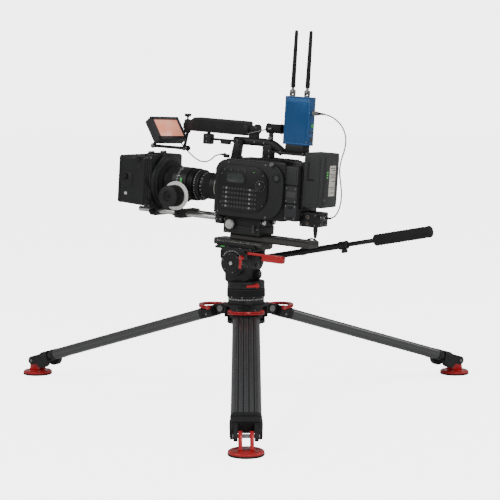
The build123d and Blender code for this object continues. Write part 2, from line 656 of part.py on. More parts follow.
def matte_box():
    """Donut, filter stage with its rod foot, and the hood."""
    disc = rod_y(MATTE_REAR, MATTE_FRAME, 0, LENS_Z, 81.5)
    stage = bar(-80, 80, HOOD_REAR, MATTE_FRAME, LENS_Z - 78, LENS_Z + 78)
    stage = fillet(stage.edges().filter_by(Axis.Y), 10)
    foot = bar(-50, 50, HOOD_REAR + 2, MATTE_FRAME, ROD_Z - 14, LENS_Z - 76)
    foot = fillet(foot.edges().filter_by(Axis.Y).sort_by(Axis.Z)[:2], 6)
    rear = Plane(origin=(0, HOOD_REAR, LENS_Z), x_dir=(1, 0, 0), z_dir=(0, -1, 0))
    front = Plane(origin=(0, HOOD_FRONT, LENS_Z), x_dir=(1, 0, 0), z_dir=(0, -1, 0))
    width, height = 2 * HOOD_HALF_X, 2 * HOOD_HALF_Z
    outer = loft([rear * Rectangle(width, height), front * Rectangle(width - 4, height - 6)])
    inner = loft([rear * Rectangle(112, 88), front * Rectangle(width - 12, height - 14)])
    box = disc + stage + foot + (outer - inner)
    box -= rod_y(MATTE_REAR + 5, MATTE_FRAME - 5, 0, LENS_Z, 48)
    box -= bar(-54, 54, HOOD_REAR - 1, MATTE_FRAME + 0.1, LENS_Z - 42, LENS_Z + 42)
    return box - rod_bores(HOOD_REAR - 5, MATTE_FRAME + 5)


GEAR_GAP = (RING_TEETH + DRIVE_TEETH) * GEAR_MODULE / 2 + 0.35
DRIVE_DROP = 30.0        # the drive gear sits this far below level with the lens axis, in degrees
DRIVE_X = GEAR_GAP * math.cos(math.radians(DRIVE_DROP))
DRIVE_Z = LENS_Z - GEAR_GAP * math.sin(math.radians(DRIVE_DROP))


def follow_focus():
    """Rod clamp, arm and right-angle gearbox."""
    clamp = bar(-42, 62, KNOB_Y - 12, KNOB_Y + 11, ROD_Z - 12, ROD_Z + 12)
    clamp = fillet(clamp.edges().filter_by(Axis.Y), 5)
    arm = bar(50, 62, KNOB_Y - 12, KNOB_Y + 11, ROD_Z + 6, DRIVE_Z - 12)
    box = bar(50, 73, KNOB_Y - 14, KNOB_Y + 12.6, DRIVE_Z - 20, DRIVE_Z + 20)
    box = fillet(box.edges().filter_by(Axis.X), 7)
    body = clamp + arm + box - rod_bores(KNOB_Y - 20, KNOB_Y + 20)
    body -= rod_y(KNOB_Y - 2, KNOB_Y + 30, DRIVE_X, DRIVE_Z, 4.05)
    return body - rod_x(62, 90, KNOB_Y, DRIVE_Z, 5.05)


def drive_gear():
    mesh_turn = 180 - DRIVE_DROP - DRIVE_DROP * RING_TEETH / DRIVE_TEETH - 180 / DRIVE_TEETH
    gear = gear_along_y(DRIVE_TEETH, GEAR_MODULE, RING_FRONT + 0.4, RING_REAR - 0.4, mesh_turn)
    gear = Pos(DRIVE_X, 0, DRIVE_Z) * gear
    return gear + rod_y(KNOB_Y + 1, RING_REAR, DRIVE_X, DRIVE_Z, 4)


def focus_knob():
    disc = rod_x(74, 78, KNOB_Y, DRIVE_Z, 41)
    grip = rod_x(78, KNOB_END_X, KNOB_Y, DRIVE_Z, WHEEL_RADIUS)
    for step in range(24):
        groove = Pos(0, WHEEL_RADIUS + 1, 0) * rod_x(84, KNOB_END_X - 4, 0, 0, 2)
        groove = Rot(step * 15, 0, 0) * groove
        grip -= Pos(0, KNOB_Y, DRIVE_Z) * groove
    return disc + grip + rod_x(64, 76, KNOB_Y, DRIVE_Z, 5)


# --- cords --------------------------------------------------------------------------------------------
def cord(points, diameter, name):
    """Tube along straight runs joined by tangent arcs, each as large as its two runs allow."""
    spots = [Vector(*point) for point in points]
    radii = []
    for before, here, after in zip(spots, spots[1:], spots[2:]):
        turn = (here - before).get_angle(after - here)
        run = min((here - before).length, (after - here).length)
        radii.append(0.45 * run / math.tan(math.radians(turn / 2)))
    path = FilletPolyline(*spots, radius=radii)
    start = Plane(origin=spots[0], z_dir=spots[1] - spots[0])
    tube = sweep(start * Circle(diameter / 2), path)
    share = tube.volume / (math.pi * diameter**2 / 4 * path.length)
    print(name, "length", round(path.length, 1), "radii", [round(r) for r in radii])
    print(name, "volume share", round(share, 4))
    return tube


MONITOR_ROUTE = (
    (22.1, -266.8, 729.0), (8, -263.5, 729), (-3, -254, 719), (-4, -238, 702), (5, -210, 684),
    (19, -178, 669), (32, -146, 661), (39, -116, 667), (40, -94, 689), (40, -70.0, 689.0),
)
TRANSMITTER_ROUTE = (
    (10, 205.0, 823.0), (10, 230, 823), (11, 258, 813), (13, 284, 792), (15, 297, 763), (15, 295, 732),
    (13, 285, 704), (12, 281, 674), (13, 287, 645), (13, 293, 616), (12, 293, 588), (11, 286, 561),
    (10, 271, 540), (10, 248.0, 540.0),
)


def make_camera():
    save("dovetail_plate", rig(dovetail_plate()))
    save("bridge_block", rig(bridge_block()))
    save("bridge_lock_knob", rig(bridge_lock_knob()))
    save("support_rods", rig(support_rods()))
    save("camera_body", rig(camera_body() - camera_shell_bore()))
    save("side_panel", rig(side_panel()))
    save("control_buttons", rig(control_buttons()))
    save("record_button", rig(record_button()))
    save("extension_unit", rig(extension_unit()))
    save("battery", rig(battery()))
    save("handle_frame", rig(handle_frame()))
    save("handle_grip", rig(handle_grip()))
    save("transmitter_box", rig(transmitter_box()))
    for name, y in ANTENNA_YS.items():
        save(f"{name}_antenna", rig(antenna(y)))
    save("monitor_mount", rig(monitor_mount()))
    save("monitor_case", rig(monitor_case()))
    save("monitor_screen", rig(monitor_screen()))


def make_optics():
    save("lens_barrel", rig(lens_barrel()))
    save("focus_ring", rig(focus_ring()))
    save("lens_glass", rig(lens_glass()))
    save("matte_box", rig(matte_box()))
    save("follow_focus", rig(follow_focus()))
    save("drive_gear", rig(drive_gear()))
    save("focus_knob", rig(focus_knob()))
    save("monitor_cable", rig(cord(MONITOR_ROUTE, 3.6, "monitor cable")))
    save("transmitter_cable", rig(cord(TRANSMITTER_ROUTE, 4.0, "transmitter cable")))


make_tripod()
make_head()
make_camera()
make_optics()
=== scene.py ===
import bpy
import bmesh
import json
from math import atan2, cos, pi, radians, sin
from mathutils import Matrix, Vector


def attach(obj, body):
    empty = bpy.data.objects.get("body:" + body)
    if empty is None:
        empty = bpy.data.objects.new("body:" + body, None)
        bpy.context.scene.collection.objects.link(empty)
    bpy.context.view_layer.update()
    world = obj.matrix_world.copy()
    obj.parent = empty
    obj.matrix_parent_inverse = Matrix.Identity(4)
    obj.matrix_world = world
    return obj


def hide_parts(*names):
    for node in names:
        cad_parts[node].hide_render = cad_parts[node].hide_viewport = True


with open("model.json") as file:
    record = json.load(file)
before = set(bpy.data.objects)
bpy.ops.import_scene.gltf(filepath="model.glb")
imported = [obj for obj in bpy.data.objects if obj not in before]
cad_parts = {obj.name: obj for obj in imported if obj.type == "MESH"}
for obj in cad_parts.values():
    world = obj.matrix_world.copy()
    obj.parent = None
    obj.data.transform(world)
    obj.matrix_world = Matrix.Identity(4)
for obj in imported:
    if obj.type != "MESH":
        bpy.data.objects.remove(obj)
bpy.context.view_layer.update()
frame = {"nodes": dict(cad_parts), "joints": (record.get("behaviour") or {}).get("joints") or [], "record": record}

bl_info = {
    "name": "Film camera on tripod",
    "version": (1, 0, 0),
    "blender": (4, 5, 0),
    "location": "3D View > Sidebar > Film Camera",
    "description": "Builds the visible pieces of a film camera on a low tripod around its frame",
    "category": "Object",
}

MM = 0.001
X, Y, Z = Vector((1, 0, 0)), Vector((0, 1, 0)), Vector((0, 0, 1))
LEGS = ("front", "left", "right")
NODES = frame["nodes"]
LENS_Z = 593  # height of the lens axis in millimetres, before the camera is tipped
ROD_Z = 508  # height of the support rods, likewise
VIEW_TRIM = radians(-0.15)  # small turn that centres the view


# --- places taken from the frame ----------------------------------------------------------------------
def joint(name):
    return next(item for item in frame["joints"] if item["name"] == name)


def axes_matrix(origin, first, second, third):
    """Millimetres along three axes from an origin, to metres in the frame."""
    turn = Matrix((first, second, third)).transposed().to_4x4()
    return Matrix.Translation(origin) @ turn @ Matrix.Scale(MM, 4)


def rig_matrix():
    """Millimetres in the level camera rig to the frame, where the rig rests nose-up."""
    pivot = Vector(joint("tilt_turn")["pos_m"])
    back = -Vector(joint("plate_slide")["axis"]).normalized()
    return axes_matrix(pivot, X, back, X.cross(back)) @ Matrix.Translation(-pivot / MM)


def leg_matrix(leg):
    """Millimetres along, across and out of a leg to the frame."""
    hinge = joint(f"{leg}_leg_spread")
    along = Vector(joint(f"{leg}_middle_extend")["axis"]).normalized()
    across = Vector(hinge["axis"]).normalized()
    return axes_matrix(Vector(hinge["pos_m"]), along, across, along.cross(across))


RIG = rig_matrix()
STAND = Matrix.Scale(MM, 4)
LEG = {leg: leg_matrix(leg) for leg in LEGS}


def limits(node, place):
    """Lowest and highest corner of a CAD node, in the millimetres of a place."""
    back = place.inverted()
    points = [back @ vertex.co for vertex in NODES[node].data.vertices]
    low = Vector([min(point[i] for point in points) for i in range(3)])
    high = Vector([max(point[i] for point in points) for i in range(3)])
    return low, high


def spot(joint_name, place=None):
    """A joint's position in the millimetres of a place."""
    point = Vector(joint(joint_name)["pos_m"])
    return (place or RIG).inverted() @ point


# --- parts in bmesh -----------------------------------------------------------------------------------
def sharp_edges(part, angle=0.6):
    return [e for e in part.edges if len(e.link_faces) == 2 and e.calc_face_angle(0) > angle]


def ease(part, width, segments=2, angle=0.6):
    """Rounds every sharp edge of the part."""
    if width > 0:
        bmesh.ops.bevel(part, geom=sharp_edges(part, angle), offset=width, offset_type="OFFSET",
                        segments=segments, profile=0.5, affect="EDGES", material=-1, clamp_overlap=True)
    return part


def block(low, high, width=0.8, corner=0.0, along=None, segments=2):
    """Box with eased edges. Edges along an axis can have a larger corner radius."""
    low, high = Vector(low), Vector(high)
    part = bmesh.new()
    bmesh.ops.create_cube(part, size=1.0)
    bmesh.ops.scale(part, vec=high - low, verts=part.verts)
    bmesh.ops.translate(part, vec=(low + high) / 2, verts=part.verts)
    if corner:
        edges = [e for e in part.edges if abs((e.verts[0].co - e.verts[1].co).normalized().dot(along)) > 0.99]
        bmesh.ops.bevel(part, geom=edges, offset=corner, offset_type="OFFSET", segments=6, profile=0.5,
                        affect="EDGES", material=-1, clamp_overlap=True)
    return ease(part, width, segments)


def aim(part, start, direction):
    """Turns a part made along +Z to a direction and moves it to its start."""
    turn = Vector(direction).to_track_quat("Z", "Y").to_matrix().to_4x4()
    bmesh.ops.transform(part, matrix=Matrix.Translation(Vector(start)) @ turn, verts=part.verts)
    return part


def turned(profile, start, direction, steps=40, width=0.3):
    """Turned solid from (distance, radius) pairs, which go from one end to the other."""
    part = bmesh.new()
    verts = [part.verts.new((radius, 0, distance)) for distance, radius in profile]
    edges = [part.edges.new(pair) for pair in zip(verts, verts[1:])]
    bmesh.ops.spin(part, geom=verts + edges, cent=(0, 0, 0), axis=(0, 0, 1), angle=2 * pi, steps=steps,
                   use_merge=True, use_duplicate=False)
    bmesh.ops.remove_doubles(part, verts=part.verts, dist=1e-4)
    rims = [e for e in part.edges if len(e.link_faces) == 1]
    if rims:
        bmesh.ops.holes_fill(part, edges=rims, sides=0)
    bmesh.ops.recalc_face_normals(part, faces=part.faces)
    return aim(ease(part, width), start, direction)


def drum(radius, depth, start, direction, width=0.6, steps=40, bore=0.0):
    """Plain round part, or a ring when it has a bore."""
    if bore:
        profile = [(0, bore), (0, radius), (depth, radius), (depth, bore), (0, bore)]
    else:
        profile = [(0, 0), (0, radius), (depth, radius), (depth, 0)]
    return turned(profile, start, direction, steps, width)


def ribbed(radius, depth, start, direction, ribs, bite, width=0.0):
    """Round grip with straight ribs."""
    part = bmesh.new()
    bmesh.ops.create_cone(part, cap_ends=True, cap_tris=False, segments=ribs * 4, radius1=radius,
                          radius2=radius, depth=depth)
    step = 2 * pi / (ribs * 4)
    for vert in part.verts:
        phase = round(atan2(vert.co.y, vert.co.x) / step) % 4
        share = (radius - bite) / radius if phase in (2, 3) else 1.0
        vert.co.x *= share
        vert.co.y *= share
        vert.co.z += depth / 2
    return aim(ease(part, width, 1), start, direction)


def plate(outline, depth, start, right, up, width=0.6, corner=0.0, segments=5):
    """Flat part from an outline of (right, up) pairs, with rounded corners, raised by its depth."""
    part = bmesh.new()
    verts = [part.verts.new((u, v, 0)) for u, v in outline]
    face = part.faces.new(verts)
    if corner:
        bmesh.ops.bevel(part, geom=verts, offset=corner, offset_type="OFFSET", segments=segments, profile=0.5,
                        affect="VERTICES", material=-1, clamp_overlap=True)
        face = part.faces[:][0]
    raised = bmesh.ops.extrude_face_region(part, geom=[face])
    moved = [item for item in raised["geom"] if isinstance(item, bmesh.types.BMVert)]
    bmesh.ops.translate(part, vec=(0, 0, depth), verts=moved)
    bmesh.ops.recalc_face_normals(part, faces=part.faces)
    ease(part, width)
    right, up = Vector(right).normalized(), Vector(up).normalized()
    turn = Matrix((right, up, right.cross(up))).transposed().to_4x4()
    bmesh.ops.transform(part, matrix=Matrix.Translation(Vector(start)) @ turn, verts=part.verts)
    return part


def ball(radius, centre):
    part = bmesh.new()
    bmesh.ops.create_uvsphere(part, u_segments=24, v_segments=14, radius=radius)
    bmesh.ops.translate(part, vec=Vector(centre), verts=part.verts)
    return part


def bent_rod(points, radius, order=3, steps=8):
    """Round rod or hose through listed points, with closed ends."""
    curve = bpy.data.curves.new("rod", "CURVE")
    curve.dimensions = "3D"
    curve.bevel_depth = radius
    curve.bevel_resolution = 3
    curve.use_fill_caps = True
    spline = curve.splines.new("NURBS")
    spline.points.add(len(points) - 1)
    for item, point in zip(spline.points, points):
        item.co = (*point, 1)
    spline.order_u = order
    spline.use_endpoint_u = True
    spline.resolution_u = steps
    holder = bpy.data.objects.new("rod", curve)
    mesh = bpy.data.meshes.new_from_object(holder)
    part = bmesh.new()
    part.from_mesh(mesh)
    bmesh.ops.remove_doubles(part, verts=part.verts, dist=1e-4)
    bpy.data.objects.remove(holder)
    bpy.data.curves.remove(curve)
    bpy.data.meshes.remove(mesh)
    return part


def screw(at, direction, radius=2.4, height=1.6):
    """Socket-head screw standing out of a face."""
    profile = [
        (-1.0, 0), (-1.0, radius), (height, radius), (height, radius * 0.5), (height * 0.3, radius * 0.5),
        (height * 0.3, 0)]
    return turned(profile, at, direction, 16, 0.2)


def carve(part, cutter):
    """The part with the cutter taken away."""
    meshes = []
    holders = []
    for item in (part, cutter):
        bmesh.ops.recalc_face_normals(item, faces=item.faces)
        mesh = bpy.data.meshes.new("carve")
        item.to_mesh(mesh)
        item.free()
        holder = bpy.data.objects.new("carve", mesh)
        bpy.context.scene.collection.objects.link(holder)
        meshes.append(mesh)
        holders.append(holder)
    cut = holders[0].modifiers.new("cut", "BOOLEAN")
    cut.operation = "DIFFERENCE"
    cut.object = holders[1]
    cut.solver = "EXACT"
    bpy.context.view_layer.update()
    ready = holders[0].evaluated_get(bpy.context.evaluated_depsgraph_get())
    result = bmesh.new()
    result.from_mesh(ready.to_mesh())
    ready.to_mesh_clear()
    for holder in holders:
        bpy.data.objects.remove(holder)
    for mesh in meshes:
        bpy.data.meshes.remove(mesh)
    return result


def assemble(name, groups, body, place=None, nodes=(), smooth=38):
    """One piece from parts grouped by material, at its place in the frame, riding on its body."""
    whole = bmesh.new()
    mesh = bpy.data.meshes.new(name)
    for index, (material, parts) in enumerate(groups.items()):
        mesh.materials.append(material)
        for part in parts:
            bmesh.ops.recalc_face_normals(part, faces=part.faces)
            for face in part.faces:
                face.material_index = index
                face.smooth = True
            step = bpy.data.meshes.new("step")
            part.to_mesh(step)
            part.free()
            whole.from_mesh(step)
            bpy.data.meshes.remove(step)
    bmesh.ops.transform(whole, matrix=place or RIG, verts=whole.verts)
    whole.to_mesh(mesh)
    whole.free()
    mesh.set_sharp_from_angle(angle=radians(smooth))
    piece = bpy.data.objects.new(name, mesh)
    bpy.context.scene.collection.objects.link(piece)
    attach(piece, body)
    if nodes:
        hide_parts(*nodes)
    return piece


def dress(node, material):
    """A CAD node keeps its shape and gets its finished material."""
    NODES[node].data.materials.clear()
    NODES[node].data.materials.append(material)


# --- materials ----------------------------------------------------------------------------------------
def link(tree, start, end):
    tree.links.new(start, end)


def noise(tree, vector, scale, detail=3.0, roughness=0.55):
    node = tree.nodes.new("ShaderNodeTexNoise")
    node.inputs["Scale"].default_value = scale
    node.inputs["Detail"].default_value = detail
    node.inputs["Roughness"].default_value = roughness
    link(tree, vector, node.inputs["Vector"])
    return node.outputs["Fac"]


def ramp(tree, value, low, high, start=0.0, end=1.0):
    """A value moved from one span to another."""
    node = tree.nodes.new("ShaderNodeMapRange")
    node.inputs["From Min"].default_value = low
    node.inputs["From Max"].default_value = high
    node.inputs["To Min"].default_value = start
    node.inputs["To Max"].default_value = end
    link(tree, value, node.inputs["Value"])
    return node.outputs["Result"]


def maths(tree, operation, first, second):
    node = tree.nodes.new("ShaderNodeMath")
    node.operation = operation
    for socket, value in zip(node.inputs, (first, second)):
        if isinstance(value, (int, float)):
            socket.default_value = value
        else:
            link(tree, value, socket)
    return node.outputs[0]


def blend_colours(tree, share, first, second):
    node = tree.nodes.new("ShaderNodeMix")
    node.data_type = "RGBA"
    link(tree, share, node.inputs[0])
    for socket, value in ((node.inputs[6], first), (node.inputs[7], second)):
        if isinstance(value, tuple):
            socket.default_value = value
        else:
            link(tree, value, socket)
    return node.outputs[2]


def grain_group():
    """Shared grain: uneven colour, uneven gloss, light scuffs and a fine surface height."""
    name = "surface_grain"
    if name in bpy.data.node_groups:
        return bpy.data.node_groups[name]
    group = bpy.data.node_groups.new(name, "ShaderNodeTree")
    face = group.interface
    face.new_socket("Vector", in_out="INPUT", socket_type="NodeSocketVector")
    for label, kind in (
        ("Color", "NodeSocketColor"), ("Scuff Color", "NodeSocketColor"), ("Scale", "NodeSocketFloat"),
        ("Mottle", "NodeSocketFloat"), ("Scuffs", "NodeSocketFloat"), ("Roughness", "NodeSocketFloat")):
        face.new_socket(label, in_out="INPUT", socket_type=kind)
    for label, kind in (
        ("Color", "NodeSocketColor"), ("Roughness", "NodeSocketFloat"), ("Height", "NodeSocketFloat")):
        face.new_socket(label, in_out="OUTPUT", socket_type=kind)
    given = group.nodes.new("NodeGroupInput")
    out = group.nodes.new("NodeGroupOutput")
    vector = given.outputs["Vector"]
    fine = group.nodes.new("ShaderNodeTexNoise")
    fine.inputs["Detail"].default_value = 2.0
    link(group, vector, fine.inputs["Vector"])
    link(group, given.outputs["Scale"], fine.inputs["Scale"])
    broad = noise(group, vector, 22.0, 4.0)
    streaks = noise(group, vector, 160.0, 5.0, 0.7)
    darker = blend_colours(group, maths(group, "MULTIPLY", broad, given.outputs["Mottle"]),
                           given.outputs["Color"], given.outputs["Scuff Color"])
    scuffs = maths(group, "MULTIPLY", ramp(group, streaks, 0.62, 0.78), given.outputs["Scuffs"])
    link(group, blend_colours(group, scuffs, darker, given.outputs["Scuff Color"]), out.inputs["Color"])
    gloss = maths(group, "MULTIPLY", ramp(group, broad, 0.3, 0.7, 0.88, 1.14), given.outputs["Roughness"])
    link(group, gloss, out.inputs["Roughness"])
    link(group, maths(group, "ADD", fine.outputs["Fac"], maths(group, "MULTIPLY", streaks, 0.25)),
         out.inputs["Height"])
    return group


def new_material(name):
    """A fresh node material with its shader and its object coordinates."""
    material = bpy.data.materials.new(name)
    material.use_nodes = True
    tree = material.node_tree
    shader = tree.nodes["Principled BSDF"]
    coords = tree.nodes.new("ShaderNodeTexCoord").outputs["Object"]
    return material, tree, shader, coords


def scaled(tree, vector, scale, turn=(0, 0, 0)):
    node = tree.nodes.new("ShaderNodeMapping")
    node.inputs["Scale"].default_value = scale
    node.inputs["Rotation"].default_value = turn
    link(tree, vector, node.inputs["Vector"])
    return node.outputs["Vector"]


def bump(tree, shader, height, distance, strength=0.6):
    node = tree.nodes.new("ShaderNodeBump")
    node.inputs["Distance"].default_value = distance
    node.inputs["Strength"].default_value = strength
    link(tree, height, node.inputs["Height"])
    link(tree, node.outputs["Normal"], shader.inputs["Normal"])


def lighter(colour, share):
    return tuple(min(1.0, channel + (1.0 - channel) * share) for channel in colour[:3]) + (1.0,)


def finish(name, colour, roughness=0.5, metallic=0.0, scale=900.0, depth=0.0004, mottle=0.12, scuffs=0.05,
           stretch=None, coat=0.0):
    """Painted, moulded or machined finish with grain, uneven gloss and light scuffs."""
    if name in bpy.data.materials:
        return bpy.data.materials[name]
    material, tree, shader, coords = new_material(name)
    vector = scaled(tree, coords, stretch) if stretch else coords
    grain = tree.nodes.new("ShaderNodeGroup")
    grain.node_tree = grain_group()
    link(tree, vector, grain.inputs["Vector"])
    grain.inputs["Color"].default_value = tuple(colour[:3]) + (1.0,)
    grain.inputs["Scuff Color"].default_value = lighter(colour, 0.04)
    grain.inputs["Scale"].default_value = scale
    grain.inputs["Mottle"].default_value = mottle
    grain.inputs["Scuffs"].default_value = scuffs
    grain.inputs["Roughness"].default_value = roughness
    link(tree, grain.outputs["Color"], shader.inputs["Base Color"])
    link(tree, grain.outputs["Roughness"], shader.inputs["Roughness"])
    bump(tree, shader, grain.outputs["Height"], depth)
    shader.inputs["Metallic"].default_value = metallic
    shader.inputs["Specular IOR Level"].default_value = 0.3
    shader.inputs["Coat Weight"].default_value = coat
    return material


def carbon(leg):
    """Twill weave under clear resin, square to its leg."""
    material, tree, shader, coords = new_material(f"carbon_{leg}")
    turn = LEG[leg].to_euler()
    local = scaled(tree, coords, (1, 1, 1), (0, 0, -turn.z))
    split = tree.nodes.new("ShaderNodeSeparateXYZ")
    link(tree, local, split.inputs[0])
    weave = 1400.0
    first = maths(tree, "SINE", maths(tree, "MULTIPLY", maths(tree, "ADD", split.outputs[0],
                                                              split.outputs[1]), weave), 0)
    second = maths(tree, "SINE", maths(tree, "MULTIPLY", maths(tree, "SUBTRACT", split.outputs[0],
                                                               split.outputs[1]), weave), 0)
    twill = maths(tree, "MULTIPLY", first, second)
    base = settings().carbon
    shade = blend_colours(tree, ramp(tree, twill, -0.4, 0.4), tuple(base) + (1.0,), lighter(base, 0.02))
    link(tree, shade, shader.inputs["Base Color"])
    link(tree, ramp(tree, noise(tree, coords, 60.0), 0.3, 0.7, 0.26, 0.42), shader.inputs["Roughness"])
    bump(tree, shader, twill, 0.0002, 0.4)
    shader.inputs["Coat Weight"].default_value = 0.25
    return material


def glow(name, colour, strength, bands=0.0, vector_scale=(60, 60, 60)):
    """Lit display with soft darker bands."""
    material, tree, shader, coords = new_material(name)
    shade = noise(tree, scaled(tree, coords, vector_scale), 1.0, 1.0)
    tint = blend_colours(tree, ramp(tree, shade, 0.35, 0.65), tuple(colour) + (1.0,), lighter(colour, bands))
    link(tree, tint, shader.inputs["Base Color"])
    link(tree, tint, shader.inputs["Emission Color"])
    shader.inputs["Emission Strength"].default_value = strength
    shader.inputs["Roughness"].default_value = 0.18
    return material


def coated_glass(name, colour):
    """Dark coated front glass."""
    material, tree, shader, coords = new_material(name)
    tint = blend_colours(tree, noise(tree, coords, 30.0), tuple(colour) + (1.0,), lighter(colour, 0.12))
    link(tree, tint, shader.inputs["Base Color"])
    shader.inputs["Roughness"].default_value = 0.03
    shader.inputs["Coat Weight"].default_value = 1.0
    shader.inputs["IOR"].default_value = 1.6
    return material


class Finishes:
    """The object's finishes, made once and shared by its pieces."""

    def __init__(self, look):
        self.black = finish("black_coat", look.black, 0.42, 0.0, 1500, 0.00025, 0.10, 0.06)
        self.casting = finish("cast_coat", look.black, 0.55, 0.0, 700, 0.0006, 0.16, 0.08)
        self.plastic = finish("moulded_plastic", look.body, 0.5, 0.0, 1300, 0.0004, 0.10, 0.05)
        self.panel = finish("panel_plastic", look.panel, 0.38, 0.0, 1600, 0.0002, 0.08, 0.03)
        self.unit = finish("unit_plastic", look.unit, 0.5, 0.0, 1200, 0.0004, 0.12, 0.05)
        self.rubber = finish("soft_rubber", look.rubber, 0.78, 0.0, 520, 0.0008, 0.14, 0.04)
        self.red = finish("red_coat", look.red, 0.34, 0.25, 1500, 0.0002, 0.10, 0.03, None, 0.3)
        self.blue = finish("blue_coat", look.blue, 0.36, 0.35, 1500, 0.0002, 0.10, 0.02, None, 0.2)
        self.alloy = finish("bright_alloy", look.alloy, 0.3, 0.9, 500, 0.0002, 0.12, 0.05, (30, 1, 1))
        self.steel = finish("knurled_steel", (0.20, 0.20, 0.20), 0.34, 1.0, 900, 0.0002, 0.15, 0.08)
        self.grey = finish("plate_alloy", look.grey, 0.42, 0.45, 700, 0.0003, 0.14, 0.08, (1, 6, 1))
        self.white = finish("marking_white", (0.86, 0.86, 0.84), 0.45, 0.0, 900, 0.0001, 0.05, 0.02)
        self.key = finish("key_grey", (0.040, 0.040, 0.042), 0.45, 0.0, 1400, 0.0002, 0.1, 0.03)
        self.pale_key = finish("key_pale", (0.20, 0.20, 0.19), 0.45, 0.0, 1400, 0.0002, 0.1, 0.03)
        self.label = finish("label_film", (0.52, 0.51, 0.46), 0.4, 0.0, 900, 0.0001, 0.2, 0.1)
        self.green = finish("marking_green", (0.10, 0.55, 0.12), 0.4, 0.0, 900, 0.0001, 0.05, 0.02)
        self.brass = finish("contact_brass", (0.72, 0.50, 0.20), 0.3, 1.0, 900, 0.0001, 0.1, 0.05)
        self.red_key = finish("key_red", (0.55, 0.02, 0.02), 0.3, 0.0, 1400, 0.0001, 0.05, 0.0)
        # Near-black laid in slots, grooves, joints, gaps, openings and socket wells as painted shade; the
        # battery's print uses it too.
        self.dark = finish("painted_shade_and_print", (0.006, 0.006, 0.006), 0.8, 0.0, 900, 0.0002, 0.05, 0.0)
        self.cable_black = finish("cable_black", (0.02, 0.02, 0.02), 0.55, 0.0, 2500, 0.0001, 0.08, 0.0)
        self.cable_grey = finish("cable_grey", (0.22, 0.22, 0.22), 0.5, 0.0, 2500, 0.0001, 0.08, 0.0)
        self.screen = glow("monitor_glow", look.screen, 0.55, 0.14, (26, 18, 10))
        self.lcd = glow("small_display", (0.012, 0.016, 0.016), 0.05, 0.02)
        self.glass = coated_glass("coated_glass", (0.02, 0.012, 0.035))


finishes = None


def settings():
    return bpy.context.scene.film_camera


def shared():
    """The finishes, made from the scene's settings on first use."""
    global finishes
    if finishes is None:
        finishes = Finishes(settings())
    return finishes


def trim(part, point, normal):
    """Cuts the part at a plane, keeps the side the normal points away from and closes the cut."""
    cut = bmesh.ops.bisect_plane(part, geom=part.verts[:] + part.edges[:] + part.faces[:],
                                 plane_co=Vector(point), plane_no=Vector(normal), clear_outer=True)
    edges = [item for item in cut["geom_cut"] if isinstance(item, bmesh.types.BMEdge)]
    bmesh.ops.holes_fill(part, edges=edges, sides=0)
    return part


def pod(y0, y1, z0, z1, x0, x1, turns, width=0.8):
    """Slab beside the camera. Each corner has its radius, from the lower front round to the upper front."""
    outline = []
    corners = ((y0, z0, 1, 1), (y1, z0, -1, 1), (y1, z1, -1, -1), (y0, z1, 1, -1))
    for index, (corner, radius) in enumerate(zip(corners, turns)):
        y, z, inward, upward = corner
        for step in range(9):
            angle = pi + pi / 2 * (index + step / 8)
            outline.append(
                (y + inward * radius + radius * cos(angle), z + upward * radius + radius * sin(angle)))
    return plate(outline, x1 - x0, (x0, 0, 0), Y, Z, width)


def rounded_face(y0, y1, z0, z1, x0, x1, corner, width=0.8):
    """Slab on the side of the camera, with rounded corners seen from the side."""
    outline = [(y0, z0), (y1, z0), (y1, z1), (y0, z1)]
    return plate(outline, x1 - x0, (x0, 0, 0), Y, Z, width, corner)


# --- settings -----------------------------------------------------------------------------------------
def colour_setting(name, description, default):
    return bpy.props.FloatVectorProperty(name=name, description=description, subtype="COLOR", size=3,
                                         min=0.0, max=1.0, default=default)


class FilmCameraSettings(bpy.types.PropertyGroup):
    """Colours and sizes that a user would change."""

    black: colour_setting(
        "Black coat", "Powder coat of the head, matte box and clamps", (0.0095, 0.0098, 0.0106))
    body: colour_setting("Camera shell", "Moulded shell of the camera body", (0.0100, 0.0103, 0.0112))
    panel: colour_setting("Control panel", "Side panel and lens mount", (0.0050, 0.0050, 0.0056))
    unit: colour_setting("Rear units", "Extension block and battery", (0.0220, 0.0225, 0.0240))
    rubber: colour_setting(
        "Grips", "Rubber of the handle, the pan bar and the knobs", (0.0090, 0.0090, 0.0095))
    red: colour_setting("Brake red", "Brake levers and foot pads", (0.44, 0.012, 0.016))
    blue: colour_setting("Transmitter blue", "Coat of the video transmitter", (0.005, 0.066, 0.20))
    alloy: colour_setting("Bright alloy", "Rods and small fittings", (0.56, 0.56, 0.55))
    grey: colour_setting("Grey plates", "Dovetail and slide plates", (0.050, 0.049, 0.046))
    carbon: colour_setting("Carbon tubes", "Woven leg tubes", (0.0300, 0.0310, 0.0330))
    screen: colour_setting("Monitor picture", "Tint of the lit monitor", (0.82, 0.27, 0.15))
    lens_length: bpy.props.FloatProperty(name="Camera lens", description="Focal length of the view's camera",
                                         default=108.0, min=20.0, max=300.0, unit="CAMERA")
    view_distance: bpy.props.FloatProperty(
        name="View distance", description="Level distance from the pan axis to the view's camera",
        default=4.25, min=1.0, max=20.0, unit="LENGTH")
    view_height: bpy.props.FloatProperty(
        name="View height", description="Height of the view's camera above the floor", default=0.804, min=0.0,
        max=5.0, unit="LENGTH")
    view_side: bpy.props.FloatProperty(name="View side", description="Turn of the view round the object",
                                       default=radians(30.0), subtype="ANGLE")
    view_pitch: bpy.props.FloatProperty(name="View pitch", description="How far the view's camera looks down",
                                        default=radians(5.15), subtype="ANGLE")


